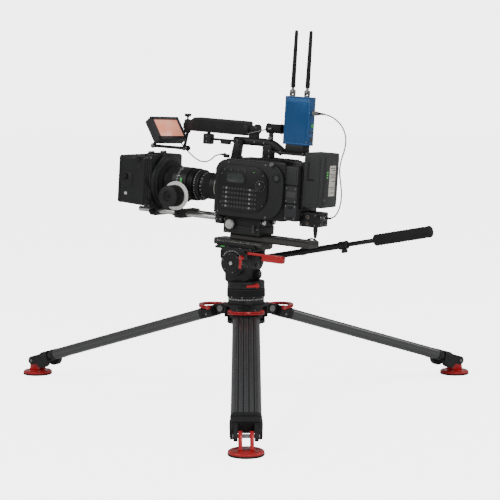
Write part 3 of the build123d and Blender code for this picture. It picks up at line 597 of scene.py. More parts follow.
# --- view, stage and cords ----------------------------------------------------------------------------
class FILMCAM_OT_view(bpy.types.Operator):
    """Sets up the camera that looks at the object"""

    bl_idname = "filmcam.view"
    bl_label = "View"

    def execute(self, context):
        look = settings()
        data = bpy.data.cameras.new("view")
        data.lens = look.lens_length
        data.sensor_width = 36.0
        holder = bpy.data.objects.new("view", data)
        context.scene.collection.objects.link(holder)
        side = look.view_side
        level = Vector((cos(side), sin(side), 0))
        holder.location = level * look.view_distance + Z * look.view_height
        heading = Matrix.Rotation(VIEW_TRIM, 3, "Z") @ -level
        aim_at = heading * cos(look.view_pitch) - Z * sin(look.view_pitch)
        holder.rotation_mode = "QUATERNION"
        holder.rotation_quaternion = aim_at.to_track_quat("-Z", "Y")
        context.scene.camera = holder
        return {"FINISHED"}


class FILMCAM_OT_stage(bpy.types.Operator):
    """Makes the pale floor and the soft studio lights"""

    bl_idname = "filmcam.stage"
    bl_label = "Stage"

    def area(self, context, name, place, target, size, power):
        data = bpy.data.lights.new(name, "AREA")
        data.shape = "RECTANGLE"
        data.size, data.size_y = size
        data.energy = power
        lamp = bpy.data.objects.new(name, data)
        lamp.location = place
        lamp.rotation_mode = "QUATERNION"
        lamp.rotation_quaternion = (Vector(target) - Vector(place)).to_track_quat("-Z", "Y")
        context.scene.collection.objects.link(lamp)

    def seen(self, tree, socket, light, shown):
        """A white surround that is brighter in the picture than as a light."""
        path = tree.nodes.new("ShaderNodeLightPath")
        link(tree, ramp(tree, path.outputs["Is Camera Ray"], 0.0, 1.0, light, shown), socket)

    def execute(self, context):
        floor = bmesh.new()
        bmesh.ops.create_circle(floor, cap_ends=True, cap_tris=False, segments=64, radius=60.0)
        mesh = bpy.data.meshes.new("floor")
        floor.to_mesh(mesh)
        floor.free()
        paper = finish("floor_paper", (0.93, 0.93, 0.92), 0.9, 0.0, 40, 0.0005, 0.02, 0.0)
        shader = paper.node_tree.nodes["Principled BSDF"]
        shader.inputs["Emission Color"].default_value = (1.0, 1.0, 1.0, 1.0)
        self.seen(paper.node_tree, shader.inputs["Emission Strength"], 0.0, 4.1)
        mesh.materials.append(paper)
        holder = bpy.data.objects.new("floor", mesh)
        context.scene.collection.objects.link(holder)
        world = bpy.data.worlds.new("studio")
        context.scene.world = world
        world.use_nodes = True
        back = world.node_tree.nodes["Background"]
        back.inputs["Color"].default_value = (1.0, 1.0, 1.0, 1.0)
        self.seen(world.node_tree, back.inputs["Strength"], 0.42, 4.6)
        self.area(context, "key_light", (3.4, -1.6, 3.4), (0, 0, 0.5), (2.2, 2.2), 90)
        self.area(context, "rear_light", (-2.0, 3.2, 2.8), (0, 0, 0.6), (2.4, 1.6), 60)
        self.area(context, "side_light", (3.0, 3.0, 1.2), (0, 0, 0.6), (1.0, 2.2), 50)
        return {"FINISHED"}


MONITOR_ROUTE = (
    (22.1, -266.8, 729.0), (8, -263.5, 729), (-3, -254, 719), (-4, -238, 702), (5, -210, 684),
    (19, -178, 669), (32, -146, 661), (39, -116, 667), (40, -94, 689), (40, -70.0, 689.0),
)
TRANSMITTER_ROUTE = (
    (10, 205.0, 823.0), (10, 230, 823), (11, 258, 813), (13, 284, 792), (15, 297, 763), (15, 295, 732),
    (13, 285, 704), (12, 281, 674), (13, 287, 645), (13, 293, 616), (12, 293, 588), (11, 286, 561),
    (10, 271, 540), (10, 248.0, 540.0),
)


class FILMCAM_OT_cords(bpy.types.Operator):
    """Lays the monitor cable and the transmitter cable"""

    bl_idname = "filmcam.cords"
    bl_label = "Cords"

    def lay(self, context, name, route, diameter, length, material, stiffness, boots):
        curve = bpy.data.curves.new(name, "CURVE")
        curve.dimensions = "3D"
        curve.bevel_depth = diameter / 2
        curve.bevel_resolution = 5
        curve.use_fill_caps = True
        spline = curve.splines.new("NURBS")
        spline.points.add(len(route) - 1)
        for item, point in zip(spline.points, route):
            item.co = (*(RIG @ Vector(point)), 1)
        spline.order_u = 3
        spline.use_endpoint_u = True
        spline.resolution_u = 14
        curve.materials.append(material)
        cable = bpy.data.objects.new(name, curve)
        context.scene.collection.objects.link(cable)
        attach(cable, "camera")
        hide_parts(name)
        tuple(RIG @ Vector(route[0]))

    def boot(self, name, start, direction, reach, radius, core):
        """Tapered strain relief with bend rings."""
        profile = [(-1.0, 0), (-1.0, radius)]
        rings = 4
        for ring in range(rings):
            near, far = ring / rings, (ring + 0.6) / rings
            size = radius + (core - radius) * ring / rings
            profile += [(reach * near, size), (reach * far, size * 0.96), (reach * far, size * 0.82),
                        (reach * (ring + 1) / rings, size * 0.80)]
        profile += [(reach, core), (reach, 0)]
        return assemble(
            name, {shared().rubber: [turned(profile, start, direction, 24, 0.15)]}, "camera")

    def execute(self, context):
        boots = [
            self.boot("monitor_cable_boot", (22.1, -266.8, 729.0), (-14.1, 3.3, 0), 12, 3.2, 1.9),
            self.boot("monitor_socket_boot", (40, -70.0, 689.0), (0, -1, 0), 14, 3.4, 1.9),
        ]
        self.lay(context, "monitor_cable", MONITOR_ROUTE, 0.0036, 0.2459, shared().cable_black, "limp", boots)
        boots = [
            self.boot("transmitter_boot", (10, 205.0, 823.0), (0, 1, 0), 20, 4.0, 2.1),
            self.boot("connector_boot", (10, 248.0, 540.0), (0, 1, 0), 18, 4.0, 2.1),
        ]
        self.lay(context, "transmitter_cable", TRANSMITTER_ROUTE, 0.0040, 0.3710, shared().cable_grey,
                 "medium", boots)
        return {"FINISHED"}


# --- finishes of the pieces that keep their CAD shape -------------------------------------------------
class FILMCAM_OT_finishes(bpy.types.Operator):
    """Gives every piece that keeps its shape its finished material"""

    bl_idname = "filmcam.finishes"
    bl_label = "Finishes"

    def execute(self, context):
        look = shared()
        by_slot = {
            "black_paint": look.black, "dark_casting": look.casting, "red_anodised": look.red,
            "blue_anodised": look.blue, "steel": look.steel, "bare_aluminium": look.alloy,
            "grey_alloy": look.grey,
            "body_grey": look.plastic, "panel_black": look.panel, "unit_grey": look.unit,
            "battery_grey": look.unit,
            "keys": look.key, "red_button": look.red_key, "grip_rubber": look.rubber,
            "knob_black": look.casting,
            "screen": look.screen, "lens_black": look.black, "lens_coating": look.glass,
            "white_disc": look.white,
            "cord_black": look.cable_black, "cord_grey": look.cable_grey,
        }
        slots = {}
        for part in frame["record"]["subparts"]:
            slots[part["node"]] = part["material_slot"]
        for node in NODES:
            if slots[node] == "carbon":
                continue
            dress(node, by_slot[slots[node]])
        for leg in LEGS:
            weave = carbon(leg)
            dress(f"{leg}_upper_tube", weave)
            dress(f"{leg}_middle_tube", weave)
        return {"FINISHED"}


# --- tripod -------------------------------------------------------------------------------------------
class FILMCAM_OT_legs(bpy.types.Operator):
    """Models the leg levers, collars, ankles and feet"""

    bl_idname = "filmcam.legs"
    bl_label = "Legs"

    def lever(self, leg):
        """U-shaped brake lever with a raised rim, turning on a boss at each rear end."""
        look = shared()
        arc = trim(drum(51, 7, (0, 0, -3.5), Z, 1.6, 64, 40), (0, 0, 0), -X)
        rim = trim(drum(51, 9, (0, 0, -4.5), Z, 1.0, 64, 47), (0, 0, 0), -X)
        bosses = [drum(6.5, 11, (0, side * 45.5 - 5.5, 0), Y, 0.8, 28) for side in (-1, 1)]
        caps = [screw((0, side * 50.6, 0), (0, side, 0), 3.2, 1.0) for side in (-1, 1)]
        pivot = Matrix.Translation((25, 0, 11)) @ Matrix.Rotation(radians(-20), 4, "Y")
        assemble(f"{leg}_lever", {look.red: [arc, rim] + bosses, look.steel: caps}, f"{leg}_brake",
                 LEG[leg] @ pivot, [f"{leg}_brake_lever"])

    def shoulder(self, leg):
        low, high = limits(f"{leg}_leg_shoulder", LEG[leg])
        edge = 60.0
        look = shared()
        body = block((24, low.y, -15.4), (edge, high.y, 15.4), 1.6, 12, X)
        tongue = [drum(13, 22.4, (0, -11.2, 0), Y, 1.0), block((0, -11.2, -13), (26, 11.2, 13), 1.0)]
        plug = block((edge, low.y + 4, -11), (edge + 12, high.y - 4, 11), 0.6, 8, X)
        collar = block((edge - 5, low.y - 1.2, -16.6), (edge + 6, high.y + 1.2, 16.6), 1.0, 12.5, X)
        ribs = [block((30, side * 20 - 1.5, -16.4), (55, side * 20 + 1.5, 16.4), 0.8) for side in (-1, 1)]
        bolts = []
        for side in (-1, 1):
            bolts.append(screw((42, side * 38, -6), (0, side, 0), 3.4, 1.6))
            bolts.append(screw((52, side * 26, 15.4), Z, 2.6, 1.2))
            bolts.append(screw((42, side * 12, 15.2), Z, 2.2, 1.2))
        groups = {look.casting: [body, plug] + tongue + ribs, look.black: [collar], look.steel: bolts}
        assemble(f"{leg}_shoulder", groups, f"{leg}_leg", LEG[leg], [f"{leg}_leg_shoulder"])

    def tube_end(self, leg):
        """Collar and rub strips on the upper tube, with near-black strips painted as shade in its grooves."""
        low, high = limits(f"{leg}_upper_tube", LEG[leg])
        look = shared()
        collar = block(
            (high.x - 14, low.y - 1.2, low.z - 1.2), (high.x - 0.2, high.y + 1.2, high.z + 1.2), 0.8, 13, X)
        strip = block((low.x + 22, -3.0, high.z - 0.7), (low.x + 78, 3.0, high.z + 0.3), 0.3)
        ridges = [block((low.x + 8, y - 2.6, top - 1.2), (high.x - 12, y + 2.6, top + 0.5), 0.5)
                  for y in (-13.5, 0, 13.5) for top in (high.z, low.z + 0.7)]
        # Near-black strips laid in the grooves as painted shade, so the grooves show.
        flute_shade_strips = [block((low.x + 2, y - 1.7, high.z - 1.8), (high.x - 14, y + 1.7, high.z - 1.1), 0)
                  for y in (-20, -7, 7, 20)]
        weave = bpy.data.materials[f"carbon_{leg}"]
        assemble(f"{leg}_tube_trim", {look.casting: [collar], look.grey: [strip], weave: ridges,
                                      look.dark: flute_shade_strips}, f"{leg}_leg", LEG[leg])

    def ankle(self, leg):
        low, high = limits(f"{leg}_lower_stage", LEG[leg])
        look = shared()
        end = high.x - 13
        cap_end = end - 42
        parts, covers = [], []
        for side in (-1, 1):
            parts.append(screw((end, side * 30, 0), (0, side, 0), 5.2, 2.0))
            covers.append(
                turned([(0, 0), (0, 18.5), (1.2, 17.2), (1.2, 8), (0.4, 7), (0.4, 0)], (cap_end - 5,
                                                                                        side * 38.8, -9),
                       (0, side, 0), 48, 0.1))
        cap = block((cap_end - 19, low.y - 0.6, -16.6), (cap_end - 2, high.y + 0.6, 16.6), 1.2, 12, X)
        assemble(f"{leg}_ankle_trim", {look.casting: [cap] + covers, look.steel: parts}, f"{leg}_lower",
                 LEG[leg])

    def foot(self, leg):
        look = shared()
        hinge = joint(f"{leg}_foot_rock")
        across = Vector(hinge["axis"]).normalized()
        ankle = Vector(hinge["pos_m"]) / MM
        out = across.cross(Z)
        middle = Vector((ankle.x, ankle.y, 0))
        sole = turned([(0, 0), (0, 43.5), (4, 45), (5, 45), (5, 0)], middle, Z, 56, 0.5)
        pad = turned([(4.6, 0), (4.6, 43.6), (10, 44.2), (13, 40), (13, 30), (12, 29), (12, 24), (14, 22),
                      (14, 0)], middle, Z, 56, 0.6)
        studs = [screw(middle + (across * cos(a) + out * sin(a)) * 34 + Z * 13, Z, 2.6, 1.2)
                 for a in (pi / 4, 3 * pi / 4, 5 * pi / 4, 7 * pi / 4)]
        ears = []
        for side in (-1, 1):
            start = middle + across * (side * 14 + 5)
            outline = [(-17, 12), (17, 12), (13, 46), (7, 58), (-7, 58), (-13, 46)]
            ears.append(plate(outline, 10, start, out, Z, 0.8, 5))
        pin = drum(5, 66, ankle - across * 33, across, 0.6)
        assemble(f"{leg}_foot_shape", {look.red: [pad] + ears, look.rubber: [sole], look.steel: studs
                                       + [pin]}, f"{leg}_foot", STAND, [f"{leg}_foot_pad"])

    def execute(self, context):
        for leg in LEGS:
            self.lever(leg)
            self.shoulder(leg)
            self.tube_end(leg)
            self.ankle(leg)
            self.foot(leg)
        return {"FINISHED"}


# --- fluid head ---------------------------------------------------------------------------------------
def dial_marks(count, radius, start, direction, size, skip=0):
    """Short index lines round a drum, on its flank."""
    marks = []
    for index in range(count):
        if skip and index % skip == 0:
            continue
        mark = block((-size[0] / 2, -0.25, 0), (size[0] / 2, 0.15, size[1]), 0)
        bmesh.ops.translate(mark, vec=(0, radius, 0), verts=mark.verts)
        bmesh.ops.rotate(
            mark, cent=(0, 0, 0), matrix=Matrix.Rotation(2 * pi * index / count, 3, "Z"), verts=mark.verts)
        marks.append(aim(mark, start, direction))
    return marks


class FILMCAM_OT_head(bpy.types.Operator):
    """Models the fluid head: collar, drag ring, housing, tilt covers, knobs and levers"""

    bl_idname = "filmcam.head"
    bl_label = "Head"

    def base(self):
        look = shared()
        collar = turned([(0, 30), (0, 49), (2, 51.5), (6, 51.5), (7, 50), (9, 50), (10, 51.5), (17, 51.5),
                         (18.6, 50.2), (18.6, 30)], (0, 0, 269.4), Z, 72, 0.3)
        marks = dial_marks(72, 51.6, (0, 0, 281.5), Z, (0.7, 4.0))
        level = drum(9.5, 1.6, (34, -34, 287.2), (1, -1, 0.6), 0.3, 28)
        assemble("pan_collar", {look.black: [collar], look.white: marks, look.green: [level]}, "stand",
                 STAND)
        bowl = []
        for turn in (30, 150, 270):
            out = Vector((cos(radians(turn)), sin(radians(turn)), 0))
            bowl.append(screw(out * 49 + Z * 268.6, Z, 3.2, 1.2))
        rim = turned([(0, 40), (0, 57), (1.6, 58.5), (1.6, 40)], (0, 0, 268.4), Z, 72, 0.3)
        nuts = []
        for leg in LEGS:
            hinge = joint(f"{leg}_leg_spread")
            across = Vector(hinge["axis"]).normalized()
            centre = Vector(hinge["pos_m"]) / MM
            for side in (-1, 1):
                nuts.append(ribbed(9.5, 4.5, centre + across * side * 22.4, across * side, 12, 0.7, 0.3))
                nuts.append(screw(centre + across * side * 26, across * side, 4.0, 1.6))
        assemble("bowl_trim", {look.casting: [rim], look.steel: bowl + nuts}, "stand", STAND)

    def drag_ring(self):
        look = shared()
        low, high = limits("pan_drag_ring", STAND)
        grip = ribbed(high.x, 17, (0, 0, low.z + 4), Z, 60, 1.5, 0.4)
        bands = [turned([(0, 44.6), (0, high.x - 1), (1, high.x), (3.4, high.x), (4.2, high.x - 1.2),
                         (4.2, 44.6)], (0, 0, at), Z, 72, 0.2) for at in (low.z, high.z - 4.2)]
        marks = dial_marks(10, high.x + 0.1, (0, 0, low.z + 0.8), Z, (1.0, 2.2))
        assemble("pan_drag_grip", {look.rubber: [grip], look.casting: bands, look.white: marks}, "drag_ring",
                 STAND, ["pan_drag_ring"])

    def housing(self):
        look = shared()
        low = limits("pan_housing", STAND)[0]
        axis_y, axis_z = spot("tilt_turn", STAND).y, spot("tilt_turn", STAND).z
        skirt = turned([(0, 20), (0, 52.6), (1.2, 53.5), (8, 53.5), (9, 52.4), (11, 52.4), (12, 53.5),
                        (19, 53.5), (21.5, 50.5), (21.5, 20)], (0, 0, low.z), Z, 72, 0.3)
        outline = [(axis_y - 34, 333), (axis_y + 34, 333), (axis_y + 34, 392), (axis_y - 34, 392)]
        body = plate(outline, 84, (-42, 0, 0), Y, Z, 2.0, 7)
        barrel = turned([(0, 0), (0, 34), (2, 36), (24, 36), (25, 34.8), (59, 34.8), (60, 36), (82, 36),
                         (84, 34), (84, 0)], (-42, axis_y, axis_z), X, 72, 0.3)
        ridges = [ribbed(35.9, 9, (start, axis_y, axis_z), X, 40, 1.1) for start in (-16, -4, 8)]
        screws = [screw((x, axis_y + 34, z), Y, 2.6, 1.4) for x in (-34, 34) for z in (342, 378)]
        screws += [screw((x, axis_y - 34, z), -Y, 2.6, 1.4) for x in (-34, 34) for z in (342, 378)]
        rear = plate(
            [(-36, 341), (20, 341), (20, 366), (-36, 366)], 1.2, (0, axis_y + 33.6, 0), -X, Z, 0.3, 4)
        bmesh.ops.translate(rear, vec=(0, 0.6, 0), verts=rear.verts)
        dial = [drum(9, 2.2, (-22, axis_y + 33.5, 380), Y, 0.4, 28), drum(6, 3.2, (-22, axis_y + 33.5, 380),
                                                                          Y, 0.3, 28)]
        marks = dial_marks(12, 7.6, (-22, axis_y + 35.8, 380), Y, (0.6, 0.2))
        assemble("head_housing", {look.black: [skirt, body], look.casting: [barrel, rear] + ridges + dial,
                                  look.steel: screws, look.white: marks},
                 "pan_head", STAND, ["pan_housing"])

    def knob(self):
        look = shared()
        low, high = limits("counterbalance_knob", STAND)
        centre = Vector(((low.x + high.x) / 2, low.y, (low.z + high.z) / 2))
        parts = [ribbed(14, 10.5, centre + Y * 2.6, Y, 18, 1.2, 0.4), drum(12, 3, centre, Y, 0.4),
                 drum(11.2, 2.3, centre + Y * 13.1, Y, 0.5)]
        face = [drum(3.0, 0.4, centre + Y * 15.2, Y, 0.1, 20)]
        tick = block((centre.x - 0.6, centre.y + 15.3, centre.z + 4), (centre.x + 0.6, centre.y + 15.7,
                                                                       centre.z + 10), 0)
        assemble("balance_dial", {look.rubber: parts, look.steel: face, look.white: [tick]}, "balance_knob",
                 STAND, ["counterbalance_knob"])

    def covers(self):
        """Round stepped covers over the ends of the tilt axle, with their scales."""
        look = shared()
        pivot = spot("tilt_turn")
        profile = [
            (0, 0), (0, 30.5), (1.5, 30.5), (2.5, 29.5), (4.4, 29.5), (5.0, 28.6), (5.0, 24), (4.2, 23.4),
            (4.2, 20.4), (5.6, 19.8), (5.6, 12.5), (4.6, 12), (4.6, 9.6), (6.4, 9.0), (7.0, 8.2), (7.0, 0)]
        groups = {look.black: [], look.steel: [], look.white: [], look.alloy: []}
        for side in (-1, 1):
            start = Vector((side * 59.4, pivot.y, pivot.z))
            out = X * side
            groups[look.black].append(turned(profile, start, out, 72, 0.25))
            for index in range(6):
                turn = Matrix.Rotation(radians(60 * index + 15), 3, "X")
                groups[look.steel].append(screw(start + turn @ (Z * 26.2) + out * 5.0, out, 1.8, 0.9))
            groups[look.alloy].append(drum(5.2, 1.2, start + out * 6.6, out, 0.3, 28))
            for index in range(37):
                turn = Matrix.Rotation(radians(5 * index - 90), 3, "X")
                tall = 3.4 if index % 3 == 0 else 2.0
                mark = block((-0.15, -0.3, 33.0), (0.25, 0.3, 33.0 + tall), 0)
                bmesh.ops.rotate(mark, cent=(0, 0, 0), matrix=turn, verts=mark.verts)
                bmesh.ops.translate(mark, vec=start + out * 0.6, verts=mark.verts)
                groups[look.white].append(mark)
        assemble("tilt_covers", groups, "tilt_head")

    def platform(self):
        look = shared()
        pivot = spot("tilt_turn")
        y, z = pivot.y, pivot.z
        parts = [block((-60, y - 62, z + 37.6), (60, y + 62, z + 44), 1.4, 9, Z)]
        for side in (-1, 1):
            near, far = sorted((side * 32.6, side * 48))
            parts.append(block((near, y - 60, z + 43), (far, y + 60, z + 55), 0.8))
            inner, outer = sorted((side * 43.2, side * 60))
            cheek = turned([(0, 0), (0, 35.6), (1.4, 37), (15.4, 37), (16.8, 35.6), (16.8, 0)], (inner, y, z),
                           X, 64, 0.3)
            web = block((inner, y - 40, z + 8), (outer, y + 40, z + 40), 1.6, 8, X)
            groove = [block((side * 60 - 0.4, y + at, z + 14), (side * 60 + 0.9, y + at + 2.2, z + 34), 0.3)
                      for at in (-36, -31.5, 29.5, 34)]
            parts += [cheek, web] + groove
        screws = [screw((x, y + at, z + 44), Z, 2.8, 1.0) for x in (-54, 54) for at in (-52, -20, 20, 52)]
        lamp = drum(7.5, 1.4, (54, y - 36, z + 43.6), Z, 0.3, 28)
        stub = drum(6, 29, (-99, y, z), X, 0.8, 32)
        assemble("yoke_shape", {look.black: parts, look.steel: screws + [stub], look.green: [lamp]},
                 "tilt_head", RIG, ["tilt_yoke"])

    def levers(self):
        look = shared()
        turn = spot("tilt_brake_turn")
        x = 60.6
        hub = turned(
            [(0, 0), (0, 6.6), (2, 7), (9, 7), (11.4, 5.6), (11.4, 0)], (x, turn.y, turn.z), X, 36, 0.3)
        arm = plate(
            [(-4.2, 4), (4.2, 4), (3.2, -31), (-3.2, -31)], 4, (x + 6.6, turn.y, turn.z), Y, Z, 1.0, 2.6)
        cap = drum(3.2, 0.9, (x + 11.2, turn.y, turn.z), X, 0.2, 24)
        assemble("tilt_brake_shape", {look.red: [hub, arm], look.steel: [cap]}, "tilt_brake",
                 RIG, ["tilt_brake_lever"])
        pivot = spot("plate_lever_turn")
        low = 417.0
        hub = drum(9, 8, (pivot.x, pivot.y, low), Z, 0.8, 36)
        arm = plate([(-6, 0), (6, 0), (6.4, 40), (4.6, 67), (-4.6, 67), (-5.6, 40)], 6.6, (pivot.x, pivot.y,
                                                                                           low), X, Y, 1.4, 3)
        paddle = block(
            (pivot.x - 8, pivot.y + 41, low - 14), (pivot.x + 8, pivot.y + 109, low + 7), 2.2, 6, X)
        cap = drum(4, 0.7, (pivot.x, pivot.y, low + 8), Z, 0.2, 24)
        assemble("plate_lever_shape", {look.red: [hub, arm, paddle], look.steel: [cap]}, "plate_lever",
                 RIG, ["plate_lock_lever"])
        spin = joint("pan_brake_turn")
        out = Vector(spin["axis"]).normalized()
        centre = Vector(spin["pos_m"]) / MM
        start = centre - out * 4.0
        side = Z.cross(out)
        hub = turned([(0, 0), (0, 6.8), (8, 7), (10.2, 5.4), (10.2, 0)], start, out, 36, 0.3)
        arm = plate([(4, 4.2), (4, -4.2), (-34, -3.2), (-34, 3.2)], 4.4, start + out * 4.6, side, Z, 1.0, 2.6)
        assemble("pan_brake_shape", {look.red: [hub, arm]}, "pan_brake", STAND,
                 ["pan_brake_lever"])

    def bar(self):
        """Rosette clamp, stepped bar, ribbed grip and the hook on the pan bar."""
        look = shared()
        pivot = spot("pan_bar_angle")
        low, high = limits("pan_bar_grip", RIG)
        rise = atan2((low.z + high.z) / 2 - pivot.z, (low.y + high.y) / 2 - pivot.y)
        along = Vector((0, cos(rise), sin(rise)))
        lift = X.cross(along)

        def at(distance):
            return pivot + along * distance

        clamp = turned([(0, 6.2), (0, 15), (1, 16), (10, 16), (11, 14.5), (12.5, 14.5), (13.5, 16), (34, 16),
                        (35, 15), (35, 6.2), (0, 6.2)], (pivot.x - 12, pivot.y, pivot.z), X, 48, 0.3)
        teeth = ribbed(15.2, 2.0, (pivot.x + 21.4, pivot.y, pivot.z), X, 36, 0.9)
        neck = turned([(0, 0), (0, 11.5), (14, 11.5), (17, 9), (258, 9), (258, 0)], at(10), along, 40, 0.3)
        sleeve = turned([(0, 0), (0, 11), (1.5, 12), (8, 12), (9, 11.2), (19, 11.2), (20, 12), (26, 12),
                         (28, 10), (28, 0)], at(268), along, 40, 0.2)
        thin = drum(6.5, 92, at(294), along, 0.3, 32)
        grip = [turned([(0, 0), (0, 13.5), (3, 16.2), (10, 16.5), (12, 15.6), (160, 15.6), (162, 16.5),
                        (168, 16.5), (172, 13.5), (172, 0)], at(380), along, 40, 0.3)]
        grip += [turned([(0, 10), (0, 15.9), (0.8, 16.5), (3.2, 16.5), (4, 15.9), (4, 10)],
                        at(396 + 9.2 * ring), along, 40, 0) for ring in range(15)]
        knob = [turned([(0, 0), (0, 6), (4, 6), (5, 9), (12, 9), (14, 7.5), (14, 0)], at(282) - lift * 8,
                       -lift, 32, 0.3)]
        hook = bent_rod([at(150) + lift * 7, at(156) + lift * 24, at(176) + lift * 34, at(196) + lift * 30,
                         at(204) + lift * 18], 2.6)
        band = drum(10.6, 12, at(144), along, 0.6, 40)
        assemble("pan_bar_shape", {look.black: [clamp, neck, thin], look.steel: [teeth],
                                   look.casting: [sleeve, band] + knob, look.rubber: grip + [hook]},
                 "pan_bar", RIG, ["pan_bar_tube", "pan_bar_grip"])

    def execute(self, context):
        self.base()
        self.drag_ring()
        self.housing()
        self.knob()
        self.covers()
        self.platform()
        self.levers()
        self.bar()
        return {"FINISHED"}


# --- rods and plates ----------------------------------------------------------------------------------
class FILMCAM_OT_plates(bpy.types.Operator):
    """Models the slide plate, the dovetail plate, the bridge block and the rods"""

    bl_idname = "filmcam.plates"
    bl_label = "Rods and plates"

    def execute(self, context):
        look = shared()
        low, high = limits("slide_plate", RIG)
        profile = [(low.x + 3, low.z), (high.x - 3, low.z), (high.x, low.z + 4), (high.x, high.z - 3),
                   (high.x - 3, high.z), (low.x + 3, high.z), (low.x, high.z - 3), (low.x, low.z + 4)]
        slide = plate(profile, high.y - low.y, (0, high.y, 0), X, Z, 0.5)
        marks = [
            block((high.x - 0.2, at, high.z - 9), (high.x + 0.25, at + 0.6, high.z - (3.6 if index % 5 == 0
                                                                                      else 5.6)), 0)
            for index, at in enumerate(range(int(low.y) + 12, int(high.y) - 8, 5))]
        screws = [
            screw((x, at, high.z - 2.0), Z, 3.4, 1.2) for x in (-20, 20) for at in (low.y + 10, high.y - 10)]
        assemble("slide_plate_shape", {look.grey: [slide], look.white: marks, look.steel: screws}, "camera",
                 RIG, ["slide_plate"])
        low, high = limits("dovetail_plate", RIG)
        profile = [(low.x + 5, low.z), (high.x - 5, low.z), (high.x, low.z + 5), (high.x, high.z - 5),
                   (high.x - 5, high.z), (low.x + 5, high.z), (low.x, high.z - 5), (low.x, low.z + 5)]
        tail = plate(profile, high.y - low.y, (0, high.y, 0), X, Z, 0.5)
        # Near-black slots on the dovetail plate, painted shade in its recesses.
        slots = [block((-6, at, high.z - 0.6), (6, at + 26, high.z + 0.15), 0, 5.5, Z) for at in (66, 104,
                                                                                                  142, 180)]
        stops = [
            screw((x, at, high.z - 0.4), Z, 3.0, 1.8) for x in (-22, 22) for at in (high.y - 10, high.y - 60)]
        ends = [screw((x, high.y, (low.z + high.z) / 2), Y, 3.0, 1.2) for x in (-18, 18)]
        assemble("dovetail_shape", {look.grey: [tail], look.dark: slots, look.steel: stops + ends}, "camera",
                 RIG, ["dovetail_plate"])
        self.bridge()
        self.lock_knob()
        self.rods()
        return {"FINISHED"}

    def bridge(self):
        look = shared()
        low, high = limits("bridge_block", RIG)
        lower = block((-44, -58, 470.2), (44, 62, 494), 1.0, 6, Z)
        upper = block((-42, -56, 494.6), (42, 60, high.z), 1.0, 6, Z)
        # Near-black band between the lower and upper block, painted shade in the gap.
        seam_shade_band = block((-43, -57, 493.6), (43, 61, 495.0), 0.3, 5, Z)
        front = block((-46, low.y, 493), (46, -60, 519), 1.2, 8, Y)
        neck = block((-20, -63, 496), (20, -55, 516), 0.6)
        sockets = []
        for side in (-1, 1):
            for at in (low.y - 1.4, 62):
                sockets.append(
                    turned([(0, 7.6), (0, 10.2), (2.4, 10.2), (2.4, 7.6), (0, 7.6)], (side * 30, at, ROD_Z),
                           Y, 36, 0.2))
        screws = [screw((46, at, 506), X, 2.8, 1.4) for at in (-78, -66)]
        screws += [screw((44, at, z), X, 2.6, 1.4) for at in (-48, 8, 34, 54) for z in (476, 488)]
        screws += [screw((x, low.y, z), -Y, 2.6, 1.4) for x in (-12, 12) for z in (499, 513)]
        gate = plate([(-4, 473), (56, 473), (52, 491), (0, 491)], 2.6, (43.6, 0, 0), Y, Z, 0.5, 3)
        lever = [drum(5, 5, (44.5, 44, 482), X, 0.5, 28), block((48.6, 40.5, 479), (51, 47.5, 500), 0.8)]
        assemble("bridge_shape", {look.casting: [lower, upper, front, neck], look.dark: [seam_shade_band],
                                  look.steel: screws, look.black: sockets + [gate], look.grey: lever},
                 "camera", RIG, ["bridge_block"])

    def lock_knob(self):
        look = shared()
        low, high = limits("bridge_lock_knob", RIG)
        centre = Vector((low.x, (low.y + high.y) / 2, (low.z + high.z) / 2))
        grip = ribbed(14, 11, centre + X * 3.4, X, 26, 1.0, 0.4)
        collar = drum(11, 3.6, centre, X, 0.4)
        face = turned(
            [(0, 0), (0, 12.2), (2.2, 11), (2.2, 6), (1.2, 5.4), (1.2, 0)], centre + X * 14.4, X, 40, 0.2)
        assemble("bridge_knob_shape", {look.alloy: [grip, face], look.black: [collar]}, "bridge_knob",
                 RIG, ["bridge_lock_knob"])

    def rods(self):
        look = shared()
        low, high = limits("support_rods", RIG)
        parts, caps = [], []
        for side in (-1, 1):
            start = Vector((side * 30, high.y, (low.z + high.z) / 2))
            reach = high.y - low.y
            parts.append(turned([(0, 0), (0, 6.4), (1.1, 7.5), (reach - 1.1, 7.5), (reach, 6.4), (reach, 0)],
                                start, -Y, 48, 0))
            caps.append(turned([(0, 0), (0, 5.2), (1.4, 4.6), (1.4, 0)], Vector((start.x, low.y, start.z)),
                               -Y, 32, 0.2))
        assemble("rods_shape", {look.alloy: parts, look.casting: caps}, "camera", RIG,
                 ["support_rods"])


# --- camera body --------------------------------------------------------------------------------------
def socket(at, direction, radius=6.0, ring_material=None, reach=3.0):
    """Round connector socket: a ring, its inside painted near-black as shade, and pins."""
    direction = Vector(direction).normalized()
    at = Vector(at)
    look = shared()
    ring = turned([(-1, radius * 0.66), (-1, radius), (reach * 0.6, radius), (reach, radius * 0.9),
                   (reach, radius * 0.66), (-1, radius * 0.66)], at, direction, 32, 0)
    # The well is a near-black disc that paints the shade inside the socket.
    well = drum(radius * 0.68, 0.6, at + direction * 0.2, direction, 0, 24)
    side = direction.orthogonal().normalized()
    pins = []
    for index in range(5):
        turn = Matrix.Rotation(2 * pi * index / 5, 3, direction)
        pins.append(drum(0.5, 1.6, at + turn @ (side * radius * 0.36), direction, 0, 8))
    return {ring_material or look.steel: [ring], look.dark: [well], look.brass: pins}


def gather(*groups):
    """Joins dictionaries of parts by their material."""
    whole = {}
    for group in groups:
        for material, parts in group.items():
            whole.setdefault(material, []).extend(parts)
    return whole


